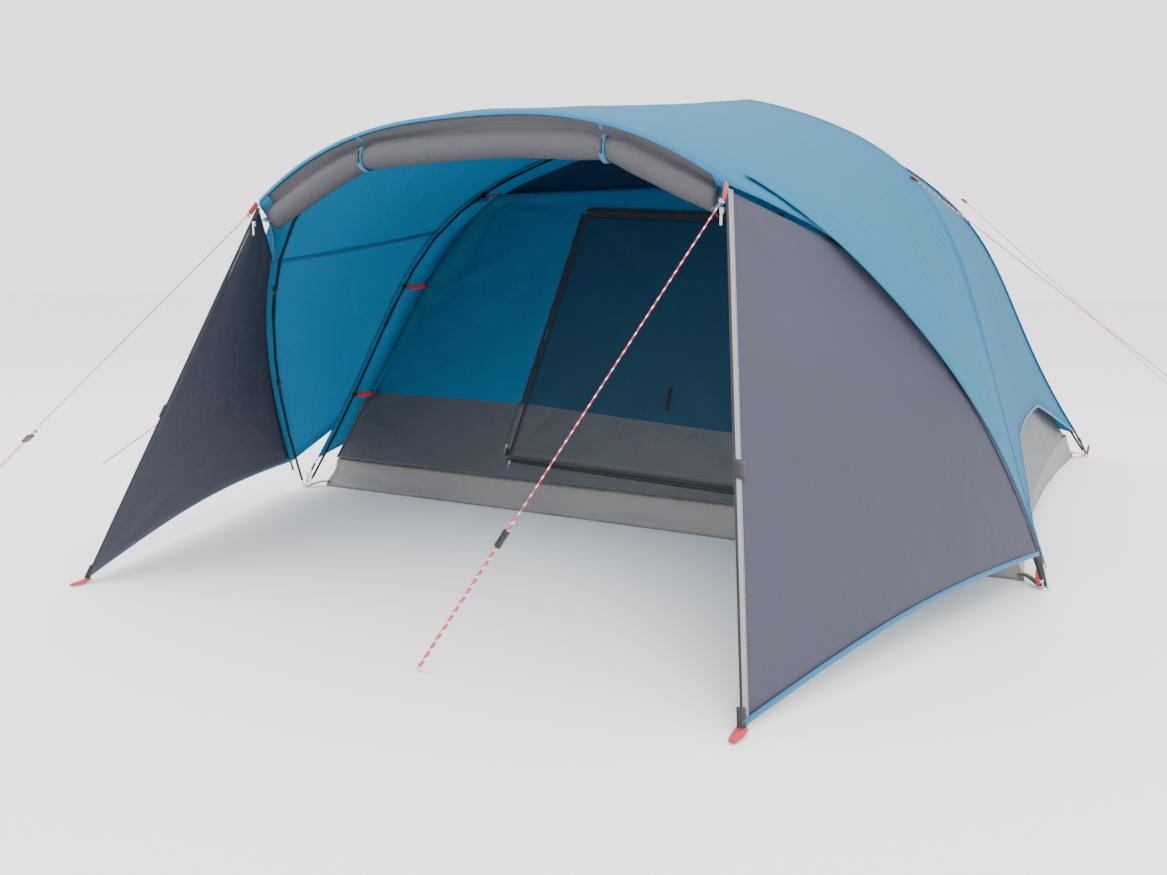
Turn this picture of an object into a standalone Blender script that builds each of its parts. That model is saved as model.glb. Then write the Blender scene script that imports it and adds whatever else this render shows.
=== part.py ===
# Dome tent with a front porch: two crossing dome poles, one porch pole that
# leans forward, an inner tent hung below them and a flysheet drawn over them.
# Metres, +Z up. The origin is the middle of the groundsheet's underside, the
# porch faces -Y, and +X is on the right of someone who looks at the porch.
import math

import bmesh
import bpy
from mathutils import Matrix, Vector

# Overall sizes
dome_width = 2.48          # between the pole feet, left to right
dome_depth = 2.28          # between the pole feet, front to rear
crossing_height = 1.44     # where the dome poles cross
porch_height = 1.13        # top of the porch pole
porch_lean = 0.58          # how far the porch pole leans forward for each metre up
porch_reach = 1.15         # from the front pole feet to the feet of the wings

# Poles
pole_radius = 0.00425
pole_bore = 0.0022
ferrule_wall = 0.00075      # outside a pole's end and its gap
ferrule_half = 0.045
dome_sections = 7
porch_sections = 5
shock_cord_clearance = 0.0009             # to the pole's bore
crossing_clearance = 0.0006               # between the ferrules of two crossing poles
cord_end_gap = 0.010       # between the elastic and the end of a pin
pole_steps = 160           # points that measure half a pole's curve

# Corner fittings
ring_radius = 0.012
ring_wire = 0.002
ring_lift = 0.001          # between the ground and a ring
pin_collar = 0.0042
pin_collar_length = 0.006
pin_bare = 0.030           # length of pin below the pole's end
pin_grip = 0.040           # length of pin inside the pole
fit_gap = 0.0003

# Fabric
fabric = 0.0015
fly_clearance = 0.0107     # from a ferrule out to the fly's middle
fly_lap = 0.006            # between the edges of two fly panels
fly_low_corner = 0.11      # the fly's edge at a pole foot
fly_cut_height = 0.285     # the fly's raised edge between two pole feet
fly_cut_steepness = 1.35   # above 1, the raised edge stays level for longer
fly_bow = 0.02             # how far a side is drawn in, as a share of its width
fly_bow_height = 0.45      # the height that the sides are drawn in towards
fly_top_share = 0.985      # share of a half pole where a fly panel ends
eave_width_share = 0.524   # the eave's share of the dome's width
eave_below_pole = 0.005    # from the porch pole's top down to the eave
eave_drop = 0.175          # from the eave's middle down to its ends
eave_power = 2.6           # above 2, the eave is flat in its middle and falls at its ends
eave_spread = 1.15         # above 1, the canopy's columns crowd to the eave's ends
brow_reach = 0.0726        # from the porch pole's top out to the eave
shoulder_low = 0.50        # share of the porch pole where the brow starts
shoulder_high = 0.58
sleeve_flange = 0.012

# Wings beside the porch
wing_foot_inset = 0.38     # from the porch pole's foot in to the wing's foot
wing_foot_height = 0.012
wing_below_eave = 0.014
wing_below_shoulder = 0.01 # share of the porch pole
wing_gap = 0.006           # to the canopy's flange
wing_hem_arch = 0.035
wing_hollow = 0.02

# Inner tent
inner_clearance = 0.0297   # from a ferrule in to the inner tent's middle
tub_height = 0.10
tub_inset = 0.050
tub_draw = 0.055           # how far the tub's sides are drawn in
tub_front_draw = 0.0165
tub_lean = 0.03            # how far a raised edge leans in from its foot to its top
tub_thickness = 0.002
wall_top = crossing_height - 0.37
wall_lean = 0.385          # how far the front wall leans back for each metre up
wall_setback = 0.035       # from the front pole feet line back to the front wall
wall_gap = 0.004
wall_side_gap = 0.012
wall_bow = 0.02
front_wall_margin = 0.022
roof_gap = 0.008
mesh_apex = crossing_height - 0.055
door_gap = 0.003
door_left_top = (-0.30, wall_top - 0.085)
door_left_bottom = (-0.42, tub_height + 0.075)
door_right_bottom = (0.47, tub_height + 0.050)
door_right_top = (0.40, wall_top - 0.125)

# Rolled porch door
roll_radius = 0.036
roll_drop = 0.052          # its centre line below the eave
roll_back = 0.035          # its centre line behind the eave
roll_end_gap = 0.03

# Zip sliders
slider_body = (0.008, 0.006, 0.013)
slider_tab = (0.005, 0.0015, 0.026)
slider_overlap = 0.4       # shares of the sizes by which the tab reaches into the body
tab_overlap = 0.42
porch_slider_inset = 0.012
porch_slider_share = 0.955 # share of the wing's front edge
door_slider_up_at = (-0.014, 0.030)       # from the door's lower left corner
door_slider_across_at = (0.010, -0.020)

# Guy lines
cord_radius = 0.0016
strand_gap = 0.010         # between the two strands of a guy line
runner_size = (0.022, 0.0075, 0.038)
runner_clearance = 0.0006  # around the cord in a runner's hole
tail_length = 0.020
guy_end_height = 0.004
guy_lowest = 0.0035        # lowest height of a guy line's centre

ferrule_radius = pole_radius + fit_gap + ferrule_wall
shock_cord_radius = pole_bore - shock_cord_clearance
pin_radius = pole_bore - fit_gap
crossing_gap = 2 * ferrule_radius + crossing_clearance    # between centre lines
fly_skin = ferrule_radius + fly_clearance                 # from a centre line
inner_hang = ferrule_radius + inner_clearance             # from a centre line
runner_hole = cord_radius + runner_clearance
half_width = dome_width / 2
half_depth = dome_depth / 2
front_line = -half_depth
eave_half = half_width * eave_width_share
eave_y_out = ring_radius + porch_lean * porch_height + brow_reach
eave_top_height = porch_height - eave_below_pole
eave_corner_height = eave_top_height - eave_drop
wing_foot_half = half_width - wing_foot_inset

# Each half pole as a Bezier curve: shares of the way in and of the way up.
front_leg = ((0.0, 0.0), (0.36, 0.74), (0.09, 0.72), (0.97, 1.0), (1.0, 1.0))
rear_leg = ((0.0, 0.0), (0.48, 0.655), (0.13, 0.71), (0.90, 1.0), (1.0, 1.0))
porch_leg = ((0.0, 0.0), (0.13, 0.60), (0.42, 1.0), (1.0, 1.0))
pole_start = 0.0068        # height of the pole pins above the ground

tent_parts = bpy.data.collections.new("dome_tent_with_porch")
cutters = bpy.data.collections.new("cutters")


def clear_scene():
    for old in list(bpy.data.objects):
        bpy.data.objects.remove(old, do_unlink=True)
    bpy.context.scene.collection.children.link(tent_parts)
    bpy.context.scene.collection.children.link(cutters)


def make_material(name, color, roughness, metallic=0.0):
    material = bpy.data.materials.new(name)
    material.use_nodes = True
    shader = material.node_tree.nodes["Principled BSDF"]
    shader.inputs["Base Color"].default_value = (*color, 1.0)
    shader.inputs["Roughness"].default_value = roughness
    shader.inputs["Metallic"].default_value = metallic
    return material


finish = {
    "pole": make_material("pole_glassfibre", (0.02, 0.02, 0.022), 0.35),
    "elastic": make_material("shock_cord", (0.75, 0.75, 0.72), 0.8),
    "steel": make_material("plated_steel", (0.62, 0.62, 0.62), 0.3, 1.0),
    "fly": make_material("fly_blue", (0.10, 0.37, 0.58), 0.6),
    "wing": make_material("wing_grey", (0.16, 0.16, 0.19), 0.65),
    "inner": make_material("inner_blue", (0.03, 0.20, 0.38), 0.7),
    "mesh": make_material("mesh_navy", (0.01, 0.04, 0.07), 0.8),
    "tub": make_material("groundsheet_grey", (0.33, 0.31, 0.29), 0.6),
    "cord": make_material("guy_cord", (0.75, 0.08, 0.10), 0.8),
    "runner": make_material("runner_black", (0.02, 0.02, 0.02), 0.5),
}


def place(obj, kind):
    for old in list(obj.users_collection):
        old.objects.unlink(obj)
    tent_parts.objects.link(obj)
    obj.data.materials.clear()
    obj.data.materials.append(finish[kind])
    return obj


def object_from_bmesh(shape, name, kind):
    bmesh.ops.recalc_face_normals(shape, faces=shape.faces)
    mesh = bpy.data.meshes.new(name)
    shape.to_mesh(mesh)
    shape.free()
    return place(bpy.data.objects.new(name, mesh), kind)


# Curves that the poles follow

def bezier(points, t):
    """The point of a Bezier curve of any degree, and its slope there."""
    points = [Vector(point) for point in points]
    degree = len(points) - 1
    while len(points) > 2:
        points = [a.lerp(b, t) for a, b in zip(points, points[1:])]
    return points[0].lerp(points[1], t), (points[1] - points[0]) * degree


def leg_point(kind, side, t, off=0.0):
    """A point of a half pole, moved off along its outward normal."""
    if kind == "porch":
        foot = Vector((side * half_width, front_line - ring_radius, pole_start))
        top = Vector((0.0, foot.y - porch_lean * porch_height, porch_height))
        shape = porch_leg
        inward = Vector((-side, 0.0, 0.0))
    else:
        end = -1 if kind == "front" else 1
        foot = Vector((side * half_width, end * (half_depth - ring_radius), pole_start))
        top = Vector((0.0, 0.0, crossing_height))
        shape = front_leg if kind == "front" else rear_leg
        inward = Vector((-foot.x, -foot.y, 0.0)).normalized()
    rise = top - foot
    reach = rise.dot(inward)
    upward = rise - inward * reach
    height = upward.length
    upward.normalize()
    (across, up), (slope_in, slope_up) = bezier(shape, t)
    point = foot + inward * (across * reach) + upward * (up * height)
    normal = inward * (-slope_up * height) + upward * (slope_in * reach)
    return point + normal.normalized() * off


def leg_share_at(kind, side, height, off=0.0):
    """The share of a half pole at which it reaches a height."""
    low, high = 0.0, 1.0
    for _ in range(40):
        middle = (low + high) / 2
        if leg_point(kind, side, middle, off).z < height:
            low = middle
        else:
            high = middle
    return (low + high) / 2


class Path:
    """A smooth line measured by its length from the start."""

    def __init__(self, points):
        self.points = points
        self.lengths = [0.0]
        for a, b in zip(points, points[1:]):
            self.lengths.append(self.lengths[-1] + (b - a).length)
        self.length = self.lengths[-1]

    def at(self, distance):
        index = 0
        while index < len(self.lengths) - 2 and self.lengths[index + 1] < distance:
            index += 1
        span = self.lengths[index + 1] - self.lengths[index]
        share = (distance - self.lengths[index]) / span
        return self.points[index].lerp(self.points[index + 1], share)

    def direction(self, distance):
        step = 0.004
        before = self.at(max(distance - step, 0.0))
        after = self.at(min(distance + step, self.length))
        return (after - before).normalized()


def sweep(name, kind, path, across, loops, sides, closed):
    """Rings of given radius along a path; closed joins the last ring to the first."""
    shape = bmesh.new()
    rings = []
    for distance, radius in loops:
        centre = path.at(distance)
        along = path.direction(distance)
        second = along.cross(across).normalized()
        first = second.cross(along).normalized()
        ring = []
        for k in range(sides):
            angle = 2 * math.pi * (k + 0.5) / sides
            spoke = first * math.cos(angle) + second * math.sin(angle)
            ring.append(shape.verts.new(centre + spoke * radius))
        rings.append(ring)
    pairs = list(zip(rings, rings[1:]))
    if closed:
        pairs.append((rings[-1], rings[0]))
    for a, b in pairs:
        for k in range(sides):
            n = (k + 1) % sides
            shape.faces.new((a[k], a[n], b[n], b[k]))
    if not closed:
        shape.faces.new(rings[0])
        shape.faces.new(rings[-1])
    obj = object_from_bmesh(shape, name, kind)
    obj.data.shade_smooth()
    obj.data.set_sharp_from_angle(angle=math.radians(40))
    return obj


# Poles, their elastic, pins and rings

def pole_path(halves, shift):
    """A whole pole from its first foot over the top to its second foot."""
    (kind_a, side_a), (kind_b, side_b) = halves
    points = []
    for k in range(pole_steps + 1):
        t = k / pole_steps
        lift = Vector((0, 0, shift * t ** 4))
        points.append(leg_point(kind_a, side_a, t) + lift)
    for k in range(pole_steps - 1, -1, -1):
        t = k / pole_steps
        lift = Vector((0, 0, shift * t ** 4))
        points.append(leg_point(kind_b, side_b, t) + lift)
    return Path(points)


def make_pole(name, halves, sections, shift, pin_names):
    path = pole_path(halves, shift)
    ends = (path.points[0], path.points[-1])
    across = (ends[1] - ends[0]).cross(path.points[pole_steps] - ends[0]).normalized()
    start, finish_at = pin_bare, path.length - pin_bare
    section_length = (finish_at - start) / sections
    joints = [start + section_length * k for k in range(1, sections)]
    knots = {start, finish_at, start + pin_grip, finish_at - pin_grip}
    for joint in joints:
        knots.update((joint - ferrule_half, joint, joint + ferrule_half))
    pieces = 4
    for low, high in zip([start] + joints, joints + [finish_at]):
        for k in range(1, pieces):
            knots.add(low + ferrule_half + (high - low - 2 * ferrule_half) * k / pieces)
    knots = sorted(knots)

    def between(low, high):
        return [k for k in knots if low + 1e-6 < k < high - 1e-6]

    for index in range(sections):
        low = start if index == 0 else joints[index - 1] + fit_gap
        last = index == sections - 1
        high = finish_at if last else joints[index]
        outer = [(low, pole_radius)]
        if last:
            outer += [(k, pole_radius) for k in between(low, high)] + [(high, pole_radius)]
            inner = [(high, pole_bore)]
        else:
            grip = high - ferrule_half
            mouth = high + ferrule_half
            outer += [(k, pole_radius) for k in between(low, grip)]
            outer += [(grip, pole_radius), (grip, ferrule_radius), (high, ferrule_radius),
                      (mouth, ferrule_radius)]
            socket = pole_radius + fit_gap
            inner = [(mouth, socket), (high, socket), (high, pole_bore)]
        inner += [(k, pole_bore) for k in reversed(between(low, high))] + [(low, pole_bore)]
        sweep(f"{name}_{index + 1}", "pole", path, across, outer + inner, 8, True)

    cord_ends = (start + pin_grip + cord_end_gap, finish_at - pin_grip - cord_end_gap)
    stations = [cord_ends[0]] + between(*cord_ends) + [cord_ends[1]]
    sweep(f"{name}_shock_cord", "elastic", path, across,
          [(k, shock_cord_radius) for k in stations], 6, False)

    for pin_name, foot, direction in ((pin_names[0], 0.0, 1), (pin_names[1], path.length, -1)):
        def along(distance):
            return foot + direction * distance
        collar_high = pin_bare - fit_gap
        collar_low = collar_high - pin_collar_length
        loops = [(along(0.0), pin_radius), (along(collar_low), pin_radius),
                 (along(collar_low), pin_collar), (along(collar_high), pin_collar),
                 (along(collar_high), pin_radius), (along(pin_bare + pin_grip), pin_radius)]
        sweep(pin_name, "steel", path, across, loops, 8, False)


def make_ring(name, side, end):
    bpy.ops.mesh.primitive_torus_add(
        major_radius=ring_radius, minor_radius=ring_wire, major_segments=16,
        minor_segments=6, location=(side * half_width, end * half_depth, ring_wire + ring_lift))
    ring = bpy.context.object
    ring.name = name
    place(ring, "steel")
    ring.data.shade_smooth()


# Fabric panels

def panel(name, kind, rows, thickness=fabric, out=0.0):
    """A cloth panel from a grid of points; out 1 puts its thickness above the grid."""
    shape = bmesh.new()
    grid = [[shape.verts.new(point) for point in row] for row in rows]
    for lower, upper in zip(grid, grid[1:]):
        for k in range(len(lower) - 1):
            shape.faces.new((lower[k], lower[k + 1], upper[k + 1], upper[k]))
    bmesh.ops.remove_doubles(shape, verts=shape.verts, dist=0.0001)
    mesh = bpy.data.meshes.new(name)
    shape.to_mesh(mesh)
    shape.free()
    cloth = place(bpy.data.objects.new(name, mesh), kind)
    shell = cloth.modifiers.new("thickness", "SOLIDIFY")
    shell.thickness = thickness
    shell.offset = out
    return cloth


def pulled_in(a, b, gap):
    """The two points moved towards each other by the gap."""
    step = (b - a).normalized() * gap
    return a + step, b - step


def fly_side_rows(near, far):
    """A fly panel between two half poles, with a raised lower edge."""
    rows, columns = 10, 6
    middle = Vector((0, 0, fly_bow_height))
    grid = []
    near_low = leg_share_at(*near, fly_low_corner, fly_skin)
    far_low = leg_share_at(*far, fly_low_corner, fly_skin)
    near_cut = leg_share_at(*near, fly_cut_height, fly_skin)
    far_cut = leg_share_at(*far, fly_cut_height, fly_skin)
    for r in range(rows + 1):
        v = r / rows
        row = []
        for c in range(columns + 1):
            u = c / columns
            arch = min(1.0, math.sin(math.pi * u) * fly_cut_steepness)
            near_t = near_low + (near_cut - near_low) * arch
            far_t = far_low + (far_cut - far_low) * arch
            a = leg_point(*near, near_t + (fly_top_share - near_t) * v, fly_skin)
            b = leg_point(*far, far_t + (fly_top_share - far_t) * v, fly_skin)
            a, b = pulled_in(a, b, fly_lap / 2)
            point = a.lerp(b, u)
            inward = (middle - point).normalized()
            point += inward * fly_bow * math.sin(math.pi * u) * (a - b).length
            row.append(point)
        grid.append(row)
    return grid


def eave_point(x):
    share = min(abs(x) / eave_half, 1.0)
    drop = (eave_top_height - eave_corner_height) * share ** eave_power
    return Vector((x, front_line - eave_y_out, eave_top_height - drop))


def canopy_front_edge(side, t):
    """The canopy's front edge: a flange along the porch pole, then the eave."""
    along_pole = leg_point("porch", side, t, fly_skin) + Vector((0, -sleeve_flange, 0))
    if t <= shoulder_low:
        return along_pole
    share = max(0.0, (t - shoulder_high) / (1.0 - shoulder_high))
    eave = eave_point(side * eave_half * (1.0 - share ** eave_spread))
    if t >= shoulder_high:
        return eave
    blend = (t - shoulder_low) / (shoulder_high - shoulder_low)
    return along_pole.lerp(eave_point(side * eave_half), blend)


def canopy_rows():
    """The canopy from its front edge over the porch pole to the dome's front legs."""
    low = leg_share_at("porch", 1, fly_low_corner, fly_skin)
    spans = 5
    half = [low + (shoulder_low - low) * k / spans for k in range(spans + 1)]
    half += [shoulder_high + (1.0 - shoulder_high) * k / spans for k in range(spans + 1)]
    columns = [(-1, t) for t in half] + [(1, t) for t in reversed(half[:-1])]
    rows = [[canopy_front_edge(side, t) for side, t in columns]]
    for v in (0.0, 0.25, 0.5, 0.75, 1.0):
        row = []
        for side, t in columns:
            front = leg_point("porch", side, t, fly_skin)
            back = leg_point("front", side, min(t, fly_top_share), fly_skin)
            back_lap = pulled_in(front, back, fly_lap / 2)[1]
            row.append(front.lerp(back_lap, v))
        rows.append(row)
    return rows


def wing_foot(side):
    return Vector((side * wing_foot_half, front_line - porch_reach, wing_foot_height))


def wing_top(side):
    return eave_point(side * eave_half) - Vector((0, 0, wing_below_eave))


def wing_rows(side):
    """A wing between its front edge and the porch pole."""
    low = leg_share_at("porch", side, fly_low_corner, fly_skin)
    high = shoulder_low - wing_below_shoulder
    flange = Vector((0, -sleeve_flange - wing_gap, 0))
    grid = []
    rows, columns = 8, 6
    for r in range(rows + 1):
        v = r / rows
        front = wing_foot(side).lerp(wing_top(side), v)
        pole = leg_point("porch", side, low + (high - low) * v, fly_skin) + flange
        row = []
        for c in range(columns + 1):
            u = c / columns
            point = front.lerp(pole, u)
            lift = wing_hem_arch * math.sin(math.pi * u) * (1 - v) ** 3
            inward = -side * wing_hollow * math.sin(math.pi * u) * math.sin(math.pi * v)
            row.append(point + Vector((inward, 0, lift)))
        grid.append(row)
    return grid


def make_roll():
    """The porch door rolled up below the eave."""
    steps = 14
    curve = bpy.data.curves.new("rolled_porch_door", "CURVE")
    curve.dimensions = "3D"
    curve.bevel_depth = roll_radius
    curve.bevel_resolution = 3
    curve.use_fill_caps = True
    spline = curve.splines.new("POLY")
    spline.points.add(steps)
    for k in range(steps + 1):
        x = (k / steps * 2 - 1) * (eave_half - roll_end_gap)
        point = eave_point(x) + Vector((0, roll_back, -roll_drop))
        spline.points[k].co = (*point, 1.0)
    return place(bpy.data.objects.new("rolled_porch_door", curve), "wing")


# Inner tent

def make_tub():
    """Groundsheet with raised edges, its sides drawn in between the corners."""
    cells = 10
    grid = []
    for j in range(cells + 1):
        row = []
        for i in range(cells + 1):
            x = i / cells * 2 - 1
            y = j / cells * 2 - 1
            rim = max(abs(x), abs(y))
            on_rim = rim > 1 - 1e-6
            inner_x = max(-1.0, min(1.0, x / (1 - 2 / cells)))
            inner_y = max(-1.0, min(1.0, y / (1 - 2 / cells)))
            side_draw = tub_draw * (1 - inner_y ** 2)
            front_draw = tub_front_draw * (1 - inner_x ** 2)
            reach_x = half_width - tub_inset - side_draw
            reach_y = half_depth - tub_inset - front_draw
            lean = tub_lean if on_rim else 0.0
            point = Vector((inner_x * (reach_x - lean), inner_y * (reach_y - lean), 0.0))
            if on_rim:
                point.z = tub_height
            row.append(point)
        grid.append(row)
    return panel("groundsheet_tub", "tub", grid, tub_thickness, 1.0)


def wall_between(name, near, far):
    """An inner wall between two half poles, from the tub up to the mesh roof."""
    rows, columns = 6, 5
    low = tub_height + wall_gap / 2
    grid = []
    for r in range(rows + 1):
        z = low + (wall_top - low) * r / rows
        a = leg_point(*near, leg_share_at(*near, z, -inner_hang), -inner_hang)
        b = leg_point(*far, leg_share_at(*far, z, -inner_hang), -inner_hang)
        a, b = pulled_in(a, b, wall_side_gap)
        row = []
        for c in range(columns + 1):
            u = c / columns
            point = a.lerp(b, u)
            inward = Vector((-point.x, -point.y, 0)).normalized()
            point += inward * wall_bow * math.sin(math.pi * u)
            row.append(point)
        grid.append(row)
    return panel(name, "inner", grid, fabric)


def wall_frame():
    """Turns flat x, height shapes into the plane of the leaning front wall."""
    lean = math.atan(wall_lean)
    base = Vector((0, front_line + wall_setback, 0))
    turn = Matrix.Rotation(math.pi / 2 - lean, 4, "X")
    return Matrix.Translation(base) @ turn, 1 / math.cos(lean)


def flat_sheet(name, kind, outlines, thickness):
    """A flat sheet in the front wall's plane; later outlines are holes."""
    frame, stretch = wall_frame()
    curve = bpy.data.curves.new(name, "CURVE")
    curve.dimensions = "2D"
    curve.fill_mode = "BOTH"
    curve.extrude = thickness / 2
    for outline in outlines:
        spline = curve.splines.new("POLY")
        spline.points.add(len(outline) - 1)
        for k, (x, z) in enumerate(outline):
            spline.points[k].co = (x, z * stretch, 0, 1)
        spline.use_cyclic_u = True
    obj = place(bpy.data.objects.new(name, curve), kind)
    obj.matrix_world = frame
    return obj


def door_outline(grow):
    """The door's corners, moved out by grow, in x and height."""
    (ax, az), (bx, bz) = door_left_bottom, door_right_bottom
    (cx, cz), (dx, dz) = door_right_top, door_left_top
    return [(ax - grow, az - grow), (bx + grow, bz - grow),
            (cx + grow, cz + grow), (dx - grow, dz + grow)]


def make_front_wall():
    steps = 6
    low = tub_height + wall_gap
    right = []
    for k in range(steps + 1):
        z = low + (wall_top - low) * k / steps
        share = leg_share_at("front", 1, z, -inner_hang)
        right.append((leg_point("front", 1, share, -inner_hang).x - front_wall_margin, z))
    left = [(-x, z) for x, z in reversed(right)]
    flat_sheet("inner_front_wall", "inner", [right + left, door_outline(door_gap)], fabric)
    flat_sheet("inner_door", "mesh", [door_outline(0.0)], fabric)


def make_mesh_roof():
    """The mesh roof: square rings from the wall tops up to the crossing."""
    cells = 10
    low_z = wall_top + roof_gap
    corners = {(sx, end): ("front" if end < 0 else "rear", sx) for sx in (-1, 1) for end in (-1, 1)}
    starts = {key: leg_share_at(*leg, low_z, -inner_hang) for key, leg in corners.items()}

    def rib(key, level):
        t = starts[key] + (1.0 - starts[key]) * (1 - level)
        point = leg_point(*corners[key], t, -inner_hang)
        point.z = min(point.z, mesh_apex + (low_z - mesh_apex) * level ** 2)
        return point

    grid = []
    for j in range(cells + 1):
        row = []
        for i in range(cells + 1):
            x = i / cells * 2 - 1
            y = j / cells * 2 - 1
            level = max(abs(x), abs(y))
            if level < 1e-6:
                row.append(Vector((0, 0, mesh_apex)))
                continue
            u = (x / level + 1) / 2
            v = (y / level + 1) / 2
            front = rib((-1, -1), level).lerp(rib((1, -1), level), u)
            rear = rib((-1, 1), level).lerp(rib((1, 1), level), u)
            row.append(front.lerp(rear, v))
        grid.append(row)
    return panel("inner_mesh_roof", "mesh", grid, fabric)


# Zip sliders

def make_slider(name, position, turn):
    """A zip slider's body with its pull hanging below."""
    body = bmesh.new()
    bmesh.ops.create_cube(body, size=1.0, matrix=Matrix.Diagonal((*slider_body, 1)))
    mesh = bpy.data.meshes.new(name)
    body.to_mesh(mesh)
    body.free()
    slider = place(bpy.data.objects.new(name, mesh), "steel")
    pull = bmesh.new()
    hang = Vector((0, -slider_body[1] * slider_overlap,
                   -slider_body[2] / 2 - slider_tab[2] * tab_overlap))
    bmesh.ops.create_cube(pull, size=1.0, matrix=Matrix.Translation(hang)
                          @ Matrix.Diagonal((*slider_tab, 1)))
    pull_mesh = bpy.data.meshes.new(name + "_pull")
    pull.to_mesh(pull_mesh)
    pull.free()
    cutter = bpy.data.objects.new(name + "_pull", pull_mesh)
    cutters.objects.link(cutter)
    cutter.hide_render = True
    cutter.display_type = "WIRE"
    for obj in (slider, cutter):
        obj.location = position
        obj.rotation_euler = turn
    union = slider.modifiers.new("pull", "BOOLEAN")
    union.operation = "UNION"
    union.object = cutter


def wall_point(x, z, out):
    """A point on the front wall, moved out of it towards the porch."""
    lean = math.atan(wall_lean)
    y = front_line + wall_setback + z * wall_lean
    return Vector((x, y - out * math.cos(lean), z + out * math.sin(lean)))


def make_sliders():
    for side, word in ((-1, "left"), (1, "right")):
        edge = wing_foot(side).lerp(wing_top(side), porch_slider_share)
        inset = Vector((-side * porch_slider_inset, 0, 0))
        make_slider(f"porch_zip_slider_{word}", edge + inset, (0, 0, 0))
    lean = math.atan(wall_lean)
    out = fabric / 2 + fit_gap + slider_body[1] / 2
    x, z = door_left_bottom
    for word, (right, up) in (("up", door_slider_up_at), ("across", door_slider_across_at)):
        make_slider(f"door_zip_slider_{word}", wall_point(x + right, z + up, out), (-lean, 0, 0))


# Guy lines: where each leaves the tent, where it meets the ground, and how far
# along it the runner sits. The porch's lines leave the eave's corners and the
# others leave the dome's shoulders.
corner_x = eave_half + 0.005
corner_y = front_line - eave_y_out - 0.020
corner_z = eave_corner_height - 0.025
front_shoulder = (half_width * 0.633, front_line * 0.633, crossing_height * 0.736)
rear_shoulder = (half_width * 0.582, half_depth * 0.581, crossing_height * 0.764)
guy_lines = {
    "porch_right": ((corner_x, corner_y, corner_z), (0.220, front_line - 1.207), 0.73),
    "porch_left": ((-corner_x, corner_y, corner_z),
                   (-half_width - 0.760, front_line - 0.810), 0.73),
    "front_left": ((-front_shoulder[0], front_shoulder[1], front_shoulder[2]),
                   (-half_width - 1.020, front_line - 0.100), 0.76),
    "front_right": (front_shoulder, (half_width + 0.780, half_depth - 0.390), 0.78),
    "rear_right": (rear_shoulder, (half_width + 0.590, half_depth + 1.060), 0.78),
}


def guy_frame(start, end):
    along = (end - start).normalized()
    aside = along.cross(Vector((0, 0, 1))).normalized()
    return along, aside


def make_guy(name, start, end, runner_share):
    start = Vector(start)
    end = Vector((*end, guy_end_height))
    along, aside = guy_frame(start, end)
    length = (end - start).length
    turn = strand_gap / 2
    down_steps, turn_steps, back_steps = 14, 6, 6
    peg_side = start + along * (length - turn)
    points = [start.lerp(peg_side, k / down_steps) for k in range(down_steps + 1)]
    centre = peg_side + aside * turn
    for k in range(1, turn_steps):
        angle = math.pi * k / turn_steps
        points.append(centre - aside * turn * math.cos(angle) + along * turn * math.sin(angle))
    back_start = peg_side + aside * strand_gap
    runner_at = start + along * length * runner_share
    back_end = runner_at + aside * strand_gap - along * (runner_size[2] / 2 + tail_length)
    points += [back_start.lerp(back_end, k / back_steps) for k in range(back_steps + 1)]
    for point in points:
        point.z = max(point.z, guy_lowest)
    curve = bpy.data.curves.new("guy_" + name, "CURVE")
    curve.dimensions = "3D"
    curve.bevel_depth = cord_radius
    curve.bevel_resolution = 2
    curve.use_fill_caps = True
    spline = curve.splines.new("POLY")
    spline.points.add(len(points) - 1)
    for k, point in enumerate(points):
        spline.points[k].co = (*point, 1.0)
    place(bpy.data.objects.new("guy_" + name, curve), "cord")
    make_runner("guy_runner_" + name, runner_at + aside * strand_gap / 2, along, aside)


def make_runner(name, centre, along, aside):
    """A flat tension runner with a hole for each strand."""
    facing = along.cross(aside)
    turn = Matrix((aside, facing, along)).transposed().to_4x4()
    turn.translation = centre
    block = bmesh.new()
    bmesh.ops.create_cube(block, size=1.0, matrix=Matrix.Diagonal((*runner_size, 1)))
    mesh = bpy.data.meshes.new(name)
    block.to_mesh(mesh)
    block.free()
    runner = place(bpy.data.objects.new(name, mesh), "runner")
    runner.matrix_world = turn
    for side in (-1, 1):
        drill = bmesh.new()
        bmesh.ops.create_cone(drill, cap_ends=True, segments=12, radius1=runner_hole,
                              radius2=runner_hole, depth=runner_size[2] * 1.4,
                              matrix=Matrix.Translation((side * strand_gap / 2, 0, 0)))
        drill_mesh = bpy.data.meshes.new(name + "_hole")
        drill.to_mesh(drill_mesh)
        drill.free()
        cutter = bpy.data.objects.new(name + "_hole", drill_mesh)
        cutters.objects.link(cutter)
        cutter.hide_render = True
        cutter.display_type = "WIRE"
        cutter.matrix_world = turn
        cut = runner.modifiers.new("hole", "BOOLEAN")
        cut.object = cutter


clear_scene()

make_pole("dome_pole_a", (("front", -1), ("rear", 1)), dome_sections, crossing_gap / 2,
          ("pin_dome_front_left", "pin_dome_rear_right"))
make_pole("dome_pole_b", (("front", 1), ("rear", -1)), dome_sections, -crossing_gap / 2,
          ("pin_dome_front_right", "pin_dome_rear_left"))
make_pole("porch_pole", (("porch", -1), ("porch", 1)), porch_sections, 0.0,
          ("pin_porch_left", "pin_porch_right"))
for ring_side, ring_word in ((-1, "left"), (1, "right")):
    make_ring("corner_ring_front_" + ring_word, ring_side, -1)
    make_ring("corner_ring_rear_" + ring_word, ring_side, 1)

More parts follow.
